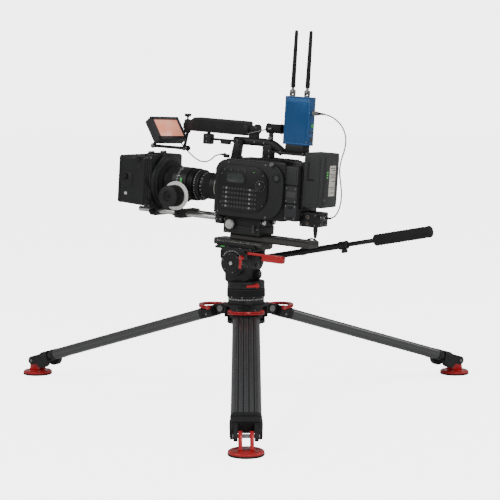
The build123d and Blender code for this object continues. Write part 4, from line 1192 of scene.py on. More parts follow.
class FILMCAM_OT_body(bpy.types.Operator):
    """Models the camera body, its mount ring, vents and sockets"""

    bl_idname = "filmcam.body"
    bl_label = "Camera body"

    def execute(self, context):
        look = shared()
        front, rear, base, top = -78.0, 144.0, 520.6, 683.0
        core = plate([(front, base), (rear, base), (rear, top), (-42, top), (front, 664)], 122, (-61, 0, 0),
                     Y, Z, 3.0, 7)
        turns = (18, 58, 48, 34)
        cheeks = [pod(front + 2, rear - 2, base + 1, top - 4, 60.6, 71.0, turns, 2.4),
                  pod(front + 2, rear - 2, base + 1, top - 4, -71.0, -60.6, turns, 2.4)]
        # Thin near-black slabs where the cheeks meet the core, painted shade along the joint.
        seam_shade_strips = [pod(front + 3, rear - 3, base + 2, top - 5, side * 60.8 - 1.4, side * 60.8 + 1.4, turns, 0.2)
                 for side in (-1, 1)]
        shelf = block((-60, 2, top - 1), (60, 132, top + 2.4), 1.4, 9, Z)
        fins = [block((side * 42 - 17, 26 + 7 * index, top + 2), (side * 42 + 17, 29 + 7 * index, top + 5.2),
                      0.5) for side in (-1, 1) for index in range(14)]
        ring = turned(
            [(0, 29), (0, 41), (4.4, 41), (6.0, 39.6), (6.0, 29), (0, 29)], (0, front, LENS_Z), -Y, 72, 0.3)
        lock = [turned([(0, 39), (0, 45), (3.2, 45), (4.2, 43.8), (4.2, 39), (0, 39)], (0, front, LENS_Z), -Y,
                       72, 0.3)]
        lock += [block((-6, front - 5, LENS_Z + 43), (6, front - 0.4, LENS_Z + 52), 1.2)]
        bosses = [screw((x, front, z), -Y, 2.6, 1.2) for x in (-62, 62) for z in (530, 650)]
        bosses += [screw((side * 71, y, z), (side, 0, 0), 2.4, 1.1) for side in (-1, 1)
                   for y, z in ((-62, 532), (92, 529), (84, 673), (-34, 672))]
        button_ring = turned([(0, 8.8), (0, 11.6), (1.6, 11.6), (2.6, 10.6), (2.6, 8.8), (0, 8.8)],
                             (71.6, 120, 640), X, 40, 0.2)
        hook = turned([(0, 0), (0, 4.6), (1.6, 4.6), (2.4, 3.2), (6, 3.2), (7, 5.0), (8.4, 5.0), (8.4, 0)],
                      (71, 104, 676), X, 28, 0)
        gland = block((33.4, -68.6, top - 2), (46.6, -53.6, top + 8), 1.6)
        nose = turned([(0, 0), (0, 5.4), (2.2, 5.4), (3, 4.4), (5, 4.4), (5, 0)], (40, -66, 689), -Y, 28, 0.2)
        grille = [
            block((-72.4, 20 + 6 * index, 556), (-70.4, 23 + 6 * index, 640), 0.6) for index in range(18)]
        door = plate([(-60, 546), (8, 546), (8, 650), (-60, 650)], 2.0, (-72.2, 0, 0), Y, Z, 0.8, 8)
        # Near-black slab at the back of the body, painted shade in the gap before the extension unit.
        rear_gap_shade = block((-63, 142, 527), (63, 144.4, 676), 0.8, 8, Y)
        groups = {
            look.plastic: [shelf] + cheeks + fins + [gland], look.panel: [core], look.dark: seam_shade_strips
            + [rear_gap_shade],
            look.black: grille + [door, button_ring] + lock, look.steel: [ring, nose, hook] + bosses,
        }
        ports = [
            socket((-72, 96, 548), -X, 5), socket((-71, 116, 548), -X, 5), socket((-30, front, 534), -Y, 5)]
        assemble("body_shape", gather(groups, *ports), "camera", RIG, ["camera_body"])
        button = turned([(-3, 0), (-3, 8), (2.6, 8), (3.8, 6.6), (4.0, 0)], (71, 120, 640), X, 40, 0.2)
        assemble("record_shape", {look.key: [button]}, "record_key", RIG, ["record_button"])
        return {"FINISHED"}


class FILMCAM_OT_panel(bpy.types.Operator):
    """Models the side panel with its display, keys and dial"""

    bl_idname = "filmcam.panel"
    bl_label = "Control panel"

    def execute(self, context):
        look = shared()
        base = pod(-62, 96, 538, 664, 70.8, 77.0, (18, 50, 44, 30), 1.4)
        face = pod(-57, 91, 543, 659, 76.6, 78.0, (14, 45, 40, 26), 0.5)
        bezel = pod(-40, 28, 613, 645, 77.8, 79.4, (15, 15, 15, 15), 0.5)
        window = pod(-34, 22, 618, 640, 79.0, 79.7, (10, 10, 10, 10), 0.2)
        well = drum(16, 1.4, (77.6, 74, 614), X, 0.5, 48)
        screws = [screw((77.8, y, z), X, 1.9, 0.9) for y, z in ((-50, 560), (-50, 640), (84, 560), (82, 644))]
        arc = dial_marks(16, 14.6, (78.9, 74, 614), X, (0.7, 0.3))
        assemble("panel_shape", {look.panel: [base, face, bezel], look.casting: [well], look.lcd: [window],
                                 look.steel: screws, look.white: arc}, "camera", RIG,
                 ["side_panel"])
        keys = {look.key: [], look.pale_key: [], look.green: []}
        for row in range(5):
            for column in range(12):
                y, z = -42 + 9.4 * column, 550 + 12.6 * row
                material = look.pale_key if column in (1, 9) else look.key
                keys[material].append(block((77.6, y - 3.1, z - 3.0), (79.8, y + 3.1, z + 3.0), 0.7, 1.6, X))
        for column in range(4):
            key_profile = (-0.6, 0), (-0.6, 3.4), (1.0, 3.4), (1.5, 2.8), (1.2, 0)
            keys[look.key].append(turned(key_profile, (78, -42 + 22 * column, 652), X, 28, 0.1))
        keys[look.green].append(drum(1.4, 0.7, (77.8, 52, 650), X, 0.1, 16))
        dial = [
            ribbed(11, 3.4, (78.6, 74, 614), X, 30, 0.7, 0.2), drum(9.6, 4.8, (78.2, 74, 614), X, 0.6, 40)]
        keys[look.casting] = dial
        keys[look.white] = [block((82.9, 73.4, 618), (83.2, 74.6, 622.5), 0)]
        assemble("key_set", keys, "camera", RIG, ["control_buttons"])
        return {"FINISHED"}


class FILMCAM_OT_rear(bpy.types.Operator):
    """Models the extension unit, the battery plate, the connector block and the battery"""

    bl_idname = "filmcam.rear"
    bl_label = "Rear units"

    def execute(self, context):
        self.extension()
        self.battery()
        return {"FINISHED"}

    def extension(self):
        look = shared()
        near, far = 144.6, 182.0
        lower = block((-62, near, 525), (62, far, 573), 1.2, 6, Y)
        middle = block((-62, near, 574.4), (62, far, 622), 1.2, 3, Y)
        upper = block((-62, near, 623.4), (62, far, 677), 1.2, 6, Y)
        # Near-black core that shows through the gaps between the three slabs, painted shade.
        inner = block((-60.6, near + 0.4, 527), (60.6, far - 0.4, 675), 0.4, 5, Y)
        # Raised strip in a lighter grey than the unit, a painted highlight along the side.
        band = block((61.6, near + 3, 590), (62.9, far - 3, 606), 0.5)
        cover = rounded_face(near + 5, far - 5, 632, 668, 61.6, 63.0, 5, 0.5)
        catches = [block((61.6, near + 12, z), (64.2, far - 12, z + 6), 0.9) for z in (531, 560)]
        screws = [screw((62, y, z), X, 2.1, 1.0) for y in (near + 5, far - 5) for z in (532, 566, 580, 615)]
        top_keys = [
            block((x, near + 10, 676.6), (x + 10, far - 10, 678.4), 0.7) for x in (-46, -30, -14, 2, 18, 34)]
        mount = block((-45, 181.6, 560), (45, 190.2, 690), 1.0, 4, Y)
        rails = [block((side * 34 - 5, 189, 590), (side * 34 + 5, 191.4, 676), 0.6) for side in (-1, 1)]
        latch = [block((42, 183.5, 640), (48.4, 188.8, 662), 1.0)]
        block_low = block((-34, 179, 512), (34, 234, 552), 1.6, 3, X)
        ridge = [block((-34.6, y, 514), (34.6, y + 1.4, 550), 0.3) for y in (192, 222)]
        feet = [screw((34, y, z), X, 2.2, 1.0) for y in (186, 228) for z in (518, 546)]
        plug = turned(
            [(-1, 0), (-1, 6.8), (2, 6.8), (3, 5.8), (14, 5.5), (15, 4.6), (15, 0)], (10, 233.4, 540), Y, 32,
            0.2)
        knurl = ribbed(6.1, 6, (10, 238, 540), Y, 24, 0.5)
        sockets = [socket((34, 206, 540), X, 6), socket((34, 206, 522), X, 5), socket((-18, 234, 540), Y, 7),
                   socket((-18, 234, 522), Y, 5), socket((10, 234, 522), Y, 4.5)]
        hanging = turned([(0, 0), (0, 6), (2, 6.6), (14, 6.6), (15.5, 5.6), (24, 5.4), (26, 4.4), (30, 4.2),
                          (32, 2.2), (32, 0)], (24, 226, 514.4), (0.02, 0.05, -1), 28, 0.2)
        groups = {
            look.unit: [lower, middle, upper, cover], look.dark: [inner], look.panel: catches + [mount,
                                                                                                 block_low]
            + ridge + latch, look.steel: screws + [plug, knurl] + rails + feet, look.key: top_keys + [band],
            look.rubber: [hanging]}
        assemble("extension_shape", gather(groups, *sockets), "camera", RIG, ["extension_unit"])

    def battery(self):
        look = shared()
        near, far, base, top = 190.8, 252.0, 568.0, 717.0
        shell = plate([(-49, near), (49, near), (49, far - 7), (42, far), (-42, far), (-49, far - 7)],
                      top - base, (0, 0, base), X, Y, 2.2, 3)
        sides, slots = [], []
        for side in (-1, 1):
            start = 48.6 if side > 0 else -50.4
            sides.append(rounded_face(near + 7, far - 11, base + 8, top - 8, start, start + 1.8, 9, 0.7))
            face = 50.3 * side
            inside, outside = sorted((face - side * 0.6, face + side * 0.25))
            # Near-black L-shaped slot on each side, painted shade in the recess.
            slots.append(rounded_face(near + 13, near + 18, 646, 692, inside, outside, 2, 0))
            slots.append(rounded_face(near + 13, near + 34, 640, 646, inside, outside, 2, 0))
        rear_panel = plate(
            [(-40, 574), (40, 574), (40, 710), (-40, 710)], 1.6, (0, far + 1.2, 0), X, Z, 0.6, 6)
        label = plate([(-22, 600), (14, 600), (14, 684), (-22, 684)], 0.5, (0, far + 1.6, 0), X, Z, 0.1, 2)
        print_rows = [block((-19, far + 1.4, z), (-19 + reach, far + 1.75, z + 1.6), 0) for z,
                      reach in ((676, 28), (670, 22), (660, 30), (655, 26), (650, 30), (640, 18), (624, 30),
                                (619, 24), (608, 28))]
        gauge = [block((22, far + 1.0, 650 + 7 * index), (30, far + 1.8, 654 + 7 * index), 0.2)
                 for index in range(4)]
        gauge_key = drum(4.4, 1.2, (26, far + 1.0, 640), Y, 0.4, 24)
        grips = [block((-30, near + 10 + 6 * index, top - 0.6), (30, near + 13 + 6 * index, top + 0.9), 0.5)
                 for index in range(7)]
        tap = socket((38, far - 3, 590), (0.7, 0.7, 0), 5)
        groups = {look.unit: [shell] + sides + [rear_panel], look.dark: slots + print_rows,
                  look.label: [label], look.green: gauge[:3], look.key: gauge[3:] + [gauge_key] + grips}
        assemble("battery_shape", gather(groups, tap), "battery_pack", RIG, ["battery"])


# --- handle, transmitter and monitor ------------------------------------------------------------------
class FILMCAM_OT_handle(bpy.types.Operator):
    """Models the top handle with its posts, brackets, microphone holder and grip"""

    bl_idname = "filmcam.handle"
    bl_label = "Top handle"

    def execute(self, context):
        self.frame_parts()
        self.grip()
        return {"FINISHED"}

    def frame_parts(self):
        look = shared()
        beam = bent_rod([(0, -60, 729), (0, -20, 731), (0, 40, 731), (0, 72, 727), (0, 96, 707)], 12)
        post = plate([(-68, 668), (-42, 676), (-36, 726), (-58, 726)], 22, (-11, 0, 0), Y, Z, 2.0, 4)
        foot = plate([(-74, 664), (-40, 681.5), (-40, 687), (-74, 669.5)], 32, (-16, 0, 0), Y, Z, 1.0, 1.4)
        rear = block((-14, 36, 682), (14, 66, 726), 2.6, 5, Z)
        rear_cap = block((-16, 34, 682), (16, 68, 688), 1.2, 5, Z)
        core = [drum(9, 26, (0, -14, 766), Y, 0.6, 32), block((-9, -12, 740), (9, 14, 762), 1.4)]
        clamp = turned([(0, 0), (0, 13), (2, 14), (12, 14), (14, 13), (14, 0)], (0, 4, 766), Y, 40, 0.4)
        trigger = block((-11, -161, 712), (11, -135, 742), 2.4, 4, Y)
        stem = block((-4, -152, 740), (4, -144, 760), 0.8)
        second = block((-8, -104, 716), (8, -76, 728), 1.8, 3, Y)
        rail = block((-4, -150, 724), (4, -64, 731), 1.6)
        holder = turned([(0, 10), (0, 13), (46, 13), (46, 10), (0, 10)], (0, 44, 772), Y, 48, 0.3)
        lips = [turned([(0, 9), (0, 14.4), (3, 14.4), (3, 9), (0, 9)], (0, at, 772), Y, 48, 0.3)
                for at in (44, 87)]
        stalk = block((-4, 50, 724), (4, 62, 761), 0.9)
        wing = [drum(2.4, 18, (12, 66, 772), X, 0.3, 20), block((28, 60, 770), (31, 72, 774), 0.9),
                drum(5, 7, (6, 58, 745), X, 0.4, 28)]
        thin_rod = bent_rod([(14, -12, 752), (14, 20, 760), (13, 44, 768)], 1.8)
        plates = [
            block((-26, 101, 705), (46, 187, 711), 1.0, 4, Z), block((-20, 70, 705), (20, 108, 711), 1.0),
            block((-10, 117, 710), (30, 175, 733), 1.4, 3, Z)]
        screws = [screw((x, y, 711), Z, 2.6, 1.2) for x in (-18, 38) for y in (108, 180)]
        screws += [screw((11.4, y, 730), X, 2.6, 1.4) for y in (-46, 10, 40)]
        screws += [screw((14, y, z), X, 2.6, 1.4) for y in (42, 60) for z in (694, 710)]
        screws += [screw((x, -48, 680), (0, -0.45, 0.9), 2.2, 1.6) for x in (-12, 12)]
        screws += [screw((11, -148, z), X, 2.4, 1.2) for z in (720, 734)]
        knob = [ribbed(9, 8, (13, -30, 728), X, 18, 0.9, 0.3), drum(7, 2, (21, -30, 728), X, 0.4, 28)]
        groups = {look.casting: [
            beam, foot, rear, trigger, stem, second, stalk] + core, look.black: [post, rail, clamp] + plates,
                  look.grey: [rear_cap], look.rubber: [holder] + lips + knob, look.steel: screws + wing
                  + [thin_rod]}
        assemble("handle_shape", groups, "camera", RIG, ["handle_frame"])

    def grip(self):
        look = shared()
        front, rear, base, top = -213.0, -13.0, 746.0, 786.0
        body = plate([(front, 754), (front + 6, base), (rear, base), (rear, top), (front + 22, top),
                      (front, 770)], 30, (-15, 0, 0), Y, Z, 6.0, 8)
        pad = plate([(front + 18, base + 4), (rear - 6, base + 4), (rear - 6, top - 5), (front + 26, top - 5),
                     (front + 14, 770)], 33.4, (-16.7, 0, 0), Y, Z, 3.5, 7)
        ribs = [block((-17.3, front + 40 + 9 * index, base + 6), (17.3, front + 43 + 9 * index, top - 9), 1.2)
                for index in range(14)]
        crown = plate(
            [(front + 26, top - 3), (rear - 4, top - 3), (rear - 4, top + 0.6), (front + 30, top + 0.6)], 18,
            (-9, 0, 0), Y, Z, 0.8, 0.6)
        # Near-black discs, painted shade in the openings along the top of the grip.
        hole_shade_discs = [drum(3.0, 0.5, (0, front + 44 + 20 * index, top + 0.3), Z, 0, 20) for index in range(8)]
        rims = [turned([(0, 3.0), (0, 4.2), (0.5, 4.0), (0.5, 3.0), (0, 3.0)], (0, front + 44 + 20 * index,
                                                                                top + 0.4), Z, 24, 0)
                for index in range(8)]
        tail = [turned([(0, 0), (0, 17.5), (3, 19.4), (14, 19.4), (17, 17), (17, 0)], (0, rear - 16, 766), Y,
                       48, 0.4)]
        caps = [turned([(0, 0), (0, 10), (1.4, 9), (1.4, 0)], (0, rear + 1, 766), Y, 32, 0.2)]
        nose = [block((-12, front - 1.5, 752), (12, front + 6, 771), 2.2)]
        assemble("grip_shape", {look.rubber: [pad] + ribs, look.casting: [body] + tail + nose,
                                look.black: [crown] + caps, look.dark: hole_shade_discs, look.steel: rims}, "camera",
                 RIG, ["handle_grip"])


class FILMCAM_OT_transmitter(bpy.types.Operator):
    """Models the video transmitter and its two folding aerials"""

    bl_idname = "filmcam.transmitter"
    bl_label = "Transmitter"

    def execute(self, context):
        look = shared()
        x0, x1, y0, y1, z0, z1 = -7.5, 27.5, 107.0, 187.0, 733.2, 866.0
        shell = block((x0, y0, z0 + 4), (x1, y1, z1 - 4), 1.6, 5, Z)
        ends = [block((x0 - 0.3, y0 - 0.3, z0), (x1 + 0.3, y1 + 0.3, z0 + 5), 1.0, 5, Z),
                block((x0 - 0.3, y0 - 0.3, z1 - 5), (x1 + 0.3, y1 + 0.3, z1), 1.0, 5, Z)]
        field = rounded_face(y0 + 8, y1 - 8, z0 + 12, z1 - 12, x1 - 0.4, x1 + 0.5, 6, 0.3)
        screws = [screw((x1, y, z), X, 2.0, 0.9) for y in (y0 + 5, y1 - 5) for z in (z0 + 10, z1 - 10)]
        screws += [screw((x, y0, z), -Y, 2.0, 0.9) for x in (x0 + 6, x1 - 6) for z in (z0 + 10, z1 - 10)]
        ports = [socket((10, y1, 750), Y, 6), socket((3, y1, 770), Y, 4, look.brass), socket((17, y1, 770), Y,
                                                                                             4, look.brass),
                 socket((10, y1, 788), Y, 4.5, look.green)]
        plug = turned(
            [(-1, 0), (-1, 7), (2, 7), (3, 5.8), (16, 5.5), (18, 4.4), (18, 0)], (10, y1, 823), Y, 32, 0.2)
        knurl = ribbed(6.2, 7, (10, y1 + 5, 823), Y, 24, 0.5)
        studs = []
        for y in (121, 166):
            studs.append(
                turned([(-1, 0), (-1, 7.4), (2, 7.4), (3, 6), (4.4, 6), (4.4, 0)], (10, y, z1), Z, 32, 0.2))
            studs += [block((4.4, y + side * 5.7 - 1.3, z1), (15.6, y + side * 5.7 + 1.3, z1 + 18), 1.0, 4, Y)
                      for side in (-1, 1)]
        groups = {look.blue: [shell, field] + ends, look.steel: screws + [plug, knurl] + studs}
        assemble(
            "transmitter_shape", gather(groups, *ports), "camera", RIG, ["transmitter_box"])
        for name in ("front", "rear"):
            pivot = spot(f"{name}_aerial_fold")
            knuckle = [drum(6, 8, pivot - Y * 4, Y, 0.6, 32), drum(4, 14, pivot, Z, 0.2, 24)]
            mast = [turned([(0, 0), (0, 5.6), (2, 6.4), (16, 6.4), (17, 5.6), (18, 6.3), (90, 5.7),
                            (150, 5.0), (156, 4.0), (157, 0)], pivot + Z * 12, Z, 32, 0)]
            grips = [turned([(0, 5), (0, 6.7), (1.6, 6.7), (1.6, 5), (0, 5)], pivot + Z * (15 + 3.2 * ring),
                            Z, 32, 0) for ring in range(4)]
            assemble(f"{name}_aerial_shape", {look.rubber: mast + grips, look.steel: knuckle},
                     f"{name}_aerial", RIG, [f"{name}_antenna"])
        return {"FINISHED"}


class FILMCAM_OT_monitor(bpy.types.Operator):
    """Models the monitor, its bent arm and its clamp"""

    bl_idname = "filmcam.monitor"
    bl_label = "Monitor"

    def execute(self, context):
        look = shared()
        pivot = spot("monitor_tilt")
        across = (RIG.inverted().to_3x3() @ Vector(joint("monitor_tilt")["axis"])).normalized()
        low, high = limits("monitor_screen", RIG)
        face = (low + high) / 2 - pivot
        outward = (face - across * face.dot(across)).normalized()
        tall = across.cross(outward)
        place = Matrix((across, outward, tall)).transposed().to_4x4()
        screen = RIG @ Matrix.Translation(pivot + outward * 25.0) @ place
        case = block((-56, -13, -38), (56, 11.6, 38), 2.4, 6, Y)
        frame_bars = [block((-56, 11, 27.6), (56, 14, 38), 1.2), block((-56, 11, -38), (56, 14, -27.6), 1.2),
                      block((-56, 11, -38), (-45.6, 14, 38), 1.2), block((45.6, 11, -38), (56, 14, 38), 1.2)]
        keys = [
            block((-40 + 14 * index, 13.6, 33.6), (-32 + 14 * index, 14.6, 36.2), 0.4) for index in range(6)]
        back = [block((-30, -16.4, -24), (30, -12.6, 24), 1.4, 4, Y), block((-22, -18, -16), (8, -16, 16),
                                                                            0.8, 3, Y)]
        vents = [
            block((12 + 3.4 * index, -17.4, -16), (13.6 + 3.4 * index, -16, 16), 0.3) for index in range(5)]
        ears = []
        for side in (-1, 1):
            ears.append(drum(8, 5, (side * 14.5 - 2.5, -25, 0), X, 0.5, 32))
            ears.append(block((side * 14.5 - 2.5, -25, -8), (side * 14.5 + 2.5, -12, 8), 0.6))
        pin = [drum(3, 34, (-17, -25, 0), X, 0.2, 24), turned([(0, 0), (0, 4), (10, 4), (12, 5), (18, 5),
                                                               (18, 0)], (-16, -25, 0), -X, 24, 0.2)]
        edge = [block((-56.4, -6, z), (-55.2, 4, z + 6), 0.4) for z in (-24, -12, 0, 12)]
        assemble("monitor_shape", {look.unit: [case] + frame_bars, look.key: keys + edge, look.panel: back
                                   + vents, look.casting: ears, look.steel: pin}, "monitor",
                 screen, ["monitor_case"])
        picture = block((-49.6, 10.9, -31.6), (49.6, 12.4, 31.6), 0.2)
        assemble("monitor_picture", {look.screen: [picture]}, "monitor", screen, ["monitor_screen"])
        clamp = [
            block((-7, -230, 738), (7, -213, 778), 1.8, 5, X), block((-10, -231, 750), (10, -222, 768), 1.4)]
        knob = [drum(3, 12, (0, -222, 776), Z, 0.3, 24), drum(4.2, 28, (-14, -222, 790), X, 1.6, 28),
                drum(5.4, 6, (0, -222, 784), Z, 0.6, 28)]
        barrel = turned([(0, 3.1), (0, 7.4), (1, 8), (21, 8), (22, 7.4), (22, 3.1), (0, 3.1)], pivot - across
                        * 11, across, 40, 0.2)
        points = [Vector((-5, -222, 746)), Vector((-18, -240, 692)), Vector((50, -304, 696)), Vector(pivot)]
        arms, joints = [], []
        for start, end in zip(points, points[1:]):
            run = end - start
            arms.append(
                turned([(0, 0), (0, 5), (run.length * 0.3, 4.4), (run.length * 0.7, 4.4), (run.length, 5),
                        (run.length, 0)], start, run, 32, 0))
        for point in points[1:3]:
            joints.append(ball(7.2, point))
        wing = [drum(
            2.4, 13, points[1] + Vector((-6, 0, 0)), -X, 0.3, 20), ribbed(8, 7, points[1] + Vector((-16, 0,
                                                                                                    0)), -X,
                                                                          14, 1.0, 0.3)]
        assemble(
            "monitor_arm", {look.casting: clamp + [barrel], look.steel: knob[:1] + joints, look.black: arms
                            + knob[1:] + wing}, "camera", RIG, ["monitor_mount"])
        return {"FINISHED"}


# --- lens, matte box and follow focus -----------------------------------------------------------------
class FILMCAM_OT_lens(bpy.types.Operator):
    """Models the lens barrel with its rings, scales, focus gear and front glass"""

    bl_idname = "filmcam.lens"
    bl_label = "Lens"

    def execute(self, context):
        look = shared()
        centre = Vector((0, -84.4, LENS_Z))
        rear = turned([(0, 30), (0, 39), (1, 40), (7.6, 40), (7.6, 38), (10, 36.6), (22, 36.6), (22.6, 35.6),
                       (24, 35.6), (24.6, 36.6), (65, 36.6), (65.6, 43), (66.6, 43.6), (81, 43.6), (82, 40.0),
                       (105.4, 40.0), (106, 46.6), (107, 47.6), (190.4, 47.6), (191.6, 46.6), (191.6, 42),
                       (150.4, 42), (150.4, 30), (0, 30)], centre, -Y, 96, 0)
        zoom = ribbed(38.2, 22, (0, -116, LENS_Z), -Y, 48, 1.3, 0.3)
        iris = ribbed(44.8, 7, (0, -153, LENS_Z), -Y, 64, 1.1, 0.3)
        bands = [turned([(0, 46), (0, 48.1), (1.6, 48.1), (1.6, 46), (0, 46)], (0, at, LENS_Z), -Y, 96, 0.2)
                 for at in (-196, -232, -262)]
        front_grip = ribbed(48.6, 20, (0, -236, LENS_Z), -Y, 72, 1.0, 0.2)
        scale = dial_marks(60, 47.7, (0, -216, LENS_Z), -Y, (0.6, 5.5), 5)
        scale += dial_marks(12, 47.7, (0, -212, LENS_Z), -Y, (0.9, 11))
        scale += dial_marks(40, 43.7, (0, -161, LENS_Z), -Y, (0.6, 3.0))
        scale += dial_marks(20, 36.7, (0, -143, LENS_Z), -Y, (0.7, 4.0))
        green = [block((43.4, -207, 598), (47.9, -202, 611), 0.5)]
        yellow = [
            turned([(0, 35), (0, 36.95), (1.4, 36.95), (1.4, 35), (0, 35)], (0, -98, LENS_Z), -Y, 96, 0)]
        screws = []
        for turn in (20, 140, 260):
            out = Matrix.Rotation(radians(turn), 3, "Y") @ X
            screws.append(screw(Vector((0, -89, LENS_Z)) + out * 39.6, out, 2.0, 1.2))
            screws.append(screw(Vector((0, -269, LENS_Z)) + out * 47.4, out, 1.8, 0.8))
        groups = {look.black: [rear] + bands, look.rubber: [zoom, iris, front_grip], look.white: scale,
                  look.green: green, look.label: yellow, look.steel: screws}
        assemble("lens_shape", groups, "camera", RIG, ["lens_barrel"])
        shade = turned(
            [(0, 0), (0, 41.8), (2, 41.8), (10, 33), (22, 20), (25.5, 8), (26, 0)], (0, -236, LENS_Z), -Y, 64,
            0)
        assemble("lens_front_glass", {look.glass: [shade]}, "camera", RIG, ["lens_glass"])
        return {"FINISHED"}


class FILMCAM_OT_matte_box(bpy.types.Operator):
    """Models the matte box: donut, filter stage, rod bracket and hood"""

    bl_idname = "filmcam.matte_box"
    bl_label = "Matte box"

    def flare(self, near, far, y0, y1, width, corner):
        """Box that changes its size from the rear to the front."""
        part = bmesh.new()
        bmesh.ops.create_cube(part, size=2.0)
        edges = [e for e in part.edges if abs((e.verts[0].co - e.verts[1].co).normalized().y) > 0.99]
        for vert in part.verts:
            half = near if vert.co.y > 0 else far
            vert.co = Vector((vert.co.x * half[0], y0 if vert.co.y > 0 else y1, LENS_Z + vert.co.z * half[1]))
        bmesh.ops.bevel(part, geom=edges, offset=corner, offset_type="OFFSET", segments=6, profile=0.5,
                        affect="EDGES", material=-1, clamp_overlap=True)
        return ease(part, width, 2)

    def execute(self, context):
        look = shared()
        donut = turned([(0, 48), (0, 70), (2, 74), (5, 74.6), (6, 79), (8, 81.2), (15.4, 81.2), (16, 80),
                        (16, 48), (0, 48)], (0, -268, LENS_Z), -Y, 96, 0.3)
        knurl = ribbed(81.5, 5, (0, -275.4, LENS_Z), -Y, 90, 0.7, 0.1)
        bellows = [turned([(0, 46), (0, 62 - 3 * ring), (1.6, 63 - 3 * ring), (3.2, 62 - 3 * ring), (3.2, 46),
                           (0, 46)], (0, -266.4 + 1.2 * ring, LENS_Z), -Y, 72, 0) for ring in range(3)]
        stage = carve(
            block((-80, -306, 515), (80, -284, 671), 1.6, 10, Y), block((-54, -310, 551), (54, -280, 635), 0,
                                                                        3, Y))
        # Near-black bands in the three filter slots, painted shade.
        slots = [block((-80.6, -303.5 + 6.6 * index, 530), (80.6, -299.5 + 6.6 * index, 656), 0.3)
                 for index in range(3)]
        trays = []
        for index in range(3):
            y = -303.1 + 6.6 * index
            trays.append(block((79.4, y, 536), (81.8, y + 3.2, 650), 0.4))
            trays.append(block((81, y + 0.3, 588 - 8 * index), (86.4, y + 2.9, 604 - 8 * index), 0.9))
            trays.append(block((-40, y, 669.6), (40, y + 3.2, 673.2), 0.6))
        foot = carve(
            block((-50, -304, 494), (50, -284, 518), 1.4, 6, Y), drum(7.6, 40, (30, -274, ROD_Z), -Y, 0, 40))
        foot = carve(foot, drum(7.6, 40, (-30, -274, ROD_Z), -Y, 0, 40))
        column = [plate([(-26, 512), (26, 512), (18, 534), (-18, 534)], 9, (0, -282, 0), X, Z, 1.0, 2)]
        lock = [ribbed(8, 9, (50.4, -294, 506), X, 14, 1.0, 0.3), drum(5, 3, (48, -294, 506), X, 0.3, 28)]
        outer = self.flare((80, 72), (77.6, 68.6), -306, -400, 2.2, 9)
        hood = carve(outer, self.flare((62, 50), (73.4, 64.4), -300, -404, 0, 6))
        lip = carve(
            self.flare((78.6, 69.6), (78.2, 69.2), -391, -399.6, 0.8, 9), self.flare((73, 64), (73.6, 64.6),
                                                                                     -388, -402, 0, 6))
        wall = [self.flare((62, 50), (61, 49), -305, -307, 0.2, 5)]
        wall = [carve(wall[0], block((-54, -312, 551), (54, -300, 635), 0, 3, Y))]
        sculpt = []
        for side in (-1, 1):
            start, depth = (78.6, 2.6) if side > 0 else (-81.2, 2.6)
            sculpt.append(plate([(-308, 530), (-308, 656), (-318, 660), (-342, 610), (-342, 576),
                                 (-318, 526)], depth, (start, 0, 0), Y, Z, 1.2, 4))
            sculpt.append(plate([(-350, 612), (-350, 574), (-388, 566), (-388, 620)], depth * 0.7,
                                (start + (0 if side > 0 else 0.8), 0, 0), Y, Z, 0.9, 4))
        ribs = [
            block((-56 + 22 * index, -386, 660), (-52 + 22 * index, -312, 664.6), 0.8) for index in range(6)]
        rail = [block((-52, -330, 664), (52, -312, 670), 1.4, 3, Z), block((-46, -326, 669), (46, -316,
                                                                                              673.4), 1.0)]
        hinge = [drum(3.6, 24, (x, -320, 675), X, 0.4, 24) for x in (-44, 20)]
        side_arm = [block((78.8, -340, 628), (82.4, -318, 664), 1.0, 3, X), ribbed(7.5, 6, (81.6, -330, 655),
                                                                                   X, 14, 0.9, 0.3)]
        knobs = [
            ribbed(7.5, 8, (80, -290, 536), X, 16, 0.9, 0.3), drum(4.6, 2, (87.6, -290, 536), X, 0.3, 24)]
        mark = [rounded_face(-376, -367, 549, 557, 77.6, 79.2, 2, 0)]
        knobs += [ribbed(9, 7, (79.4, -375, 603), X, 18, 0.9, 0.3)]
        screws = [screw((80, y, z), X, 2.2, 1.0) for y in (-302, -288) for z in (524, 662)]
        screws += [screw((x, -304, z), -Y, 2.4, 1.0) for x in (-42, 42) for z in (500, 512)]
        screws += [screw((x, -321, 670), Z, 2.0, 1.0) for x in (-48, 48)]
        groups = {
            look.black: [donut, stage, foot, hood, lip] + column + sculpt + wall + side_arm[:1],
            look.casting: trays + ribs + rail, look.rubber: [knurl] + bellows + lock + side_arm[1:] + knobs,
            look.dark: slots,
            look.steel: screws + hinge, look.label: mark,
        }
        assemble("matte_box_shape", groups, "camera", RIG, ["matte_box"])
        return {"FINISHED"}


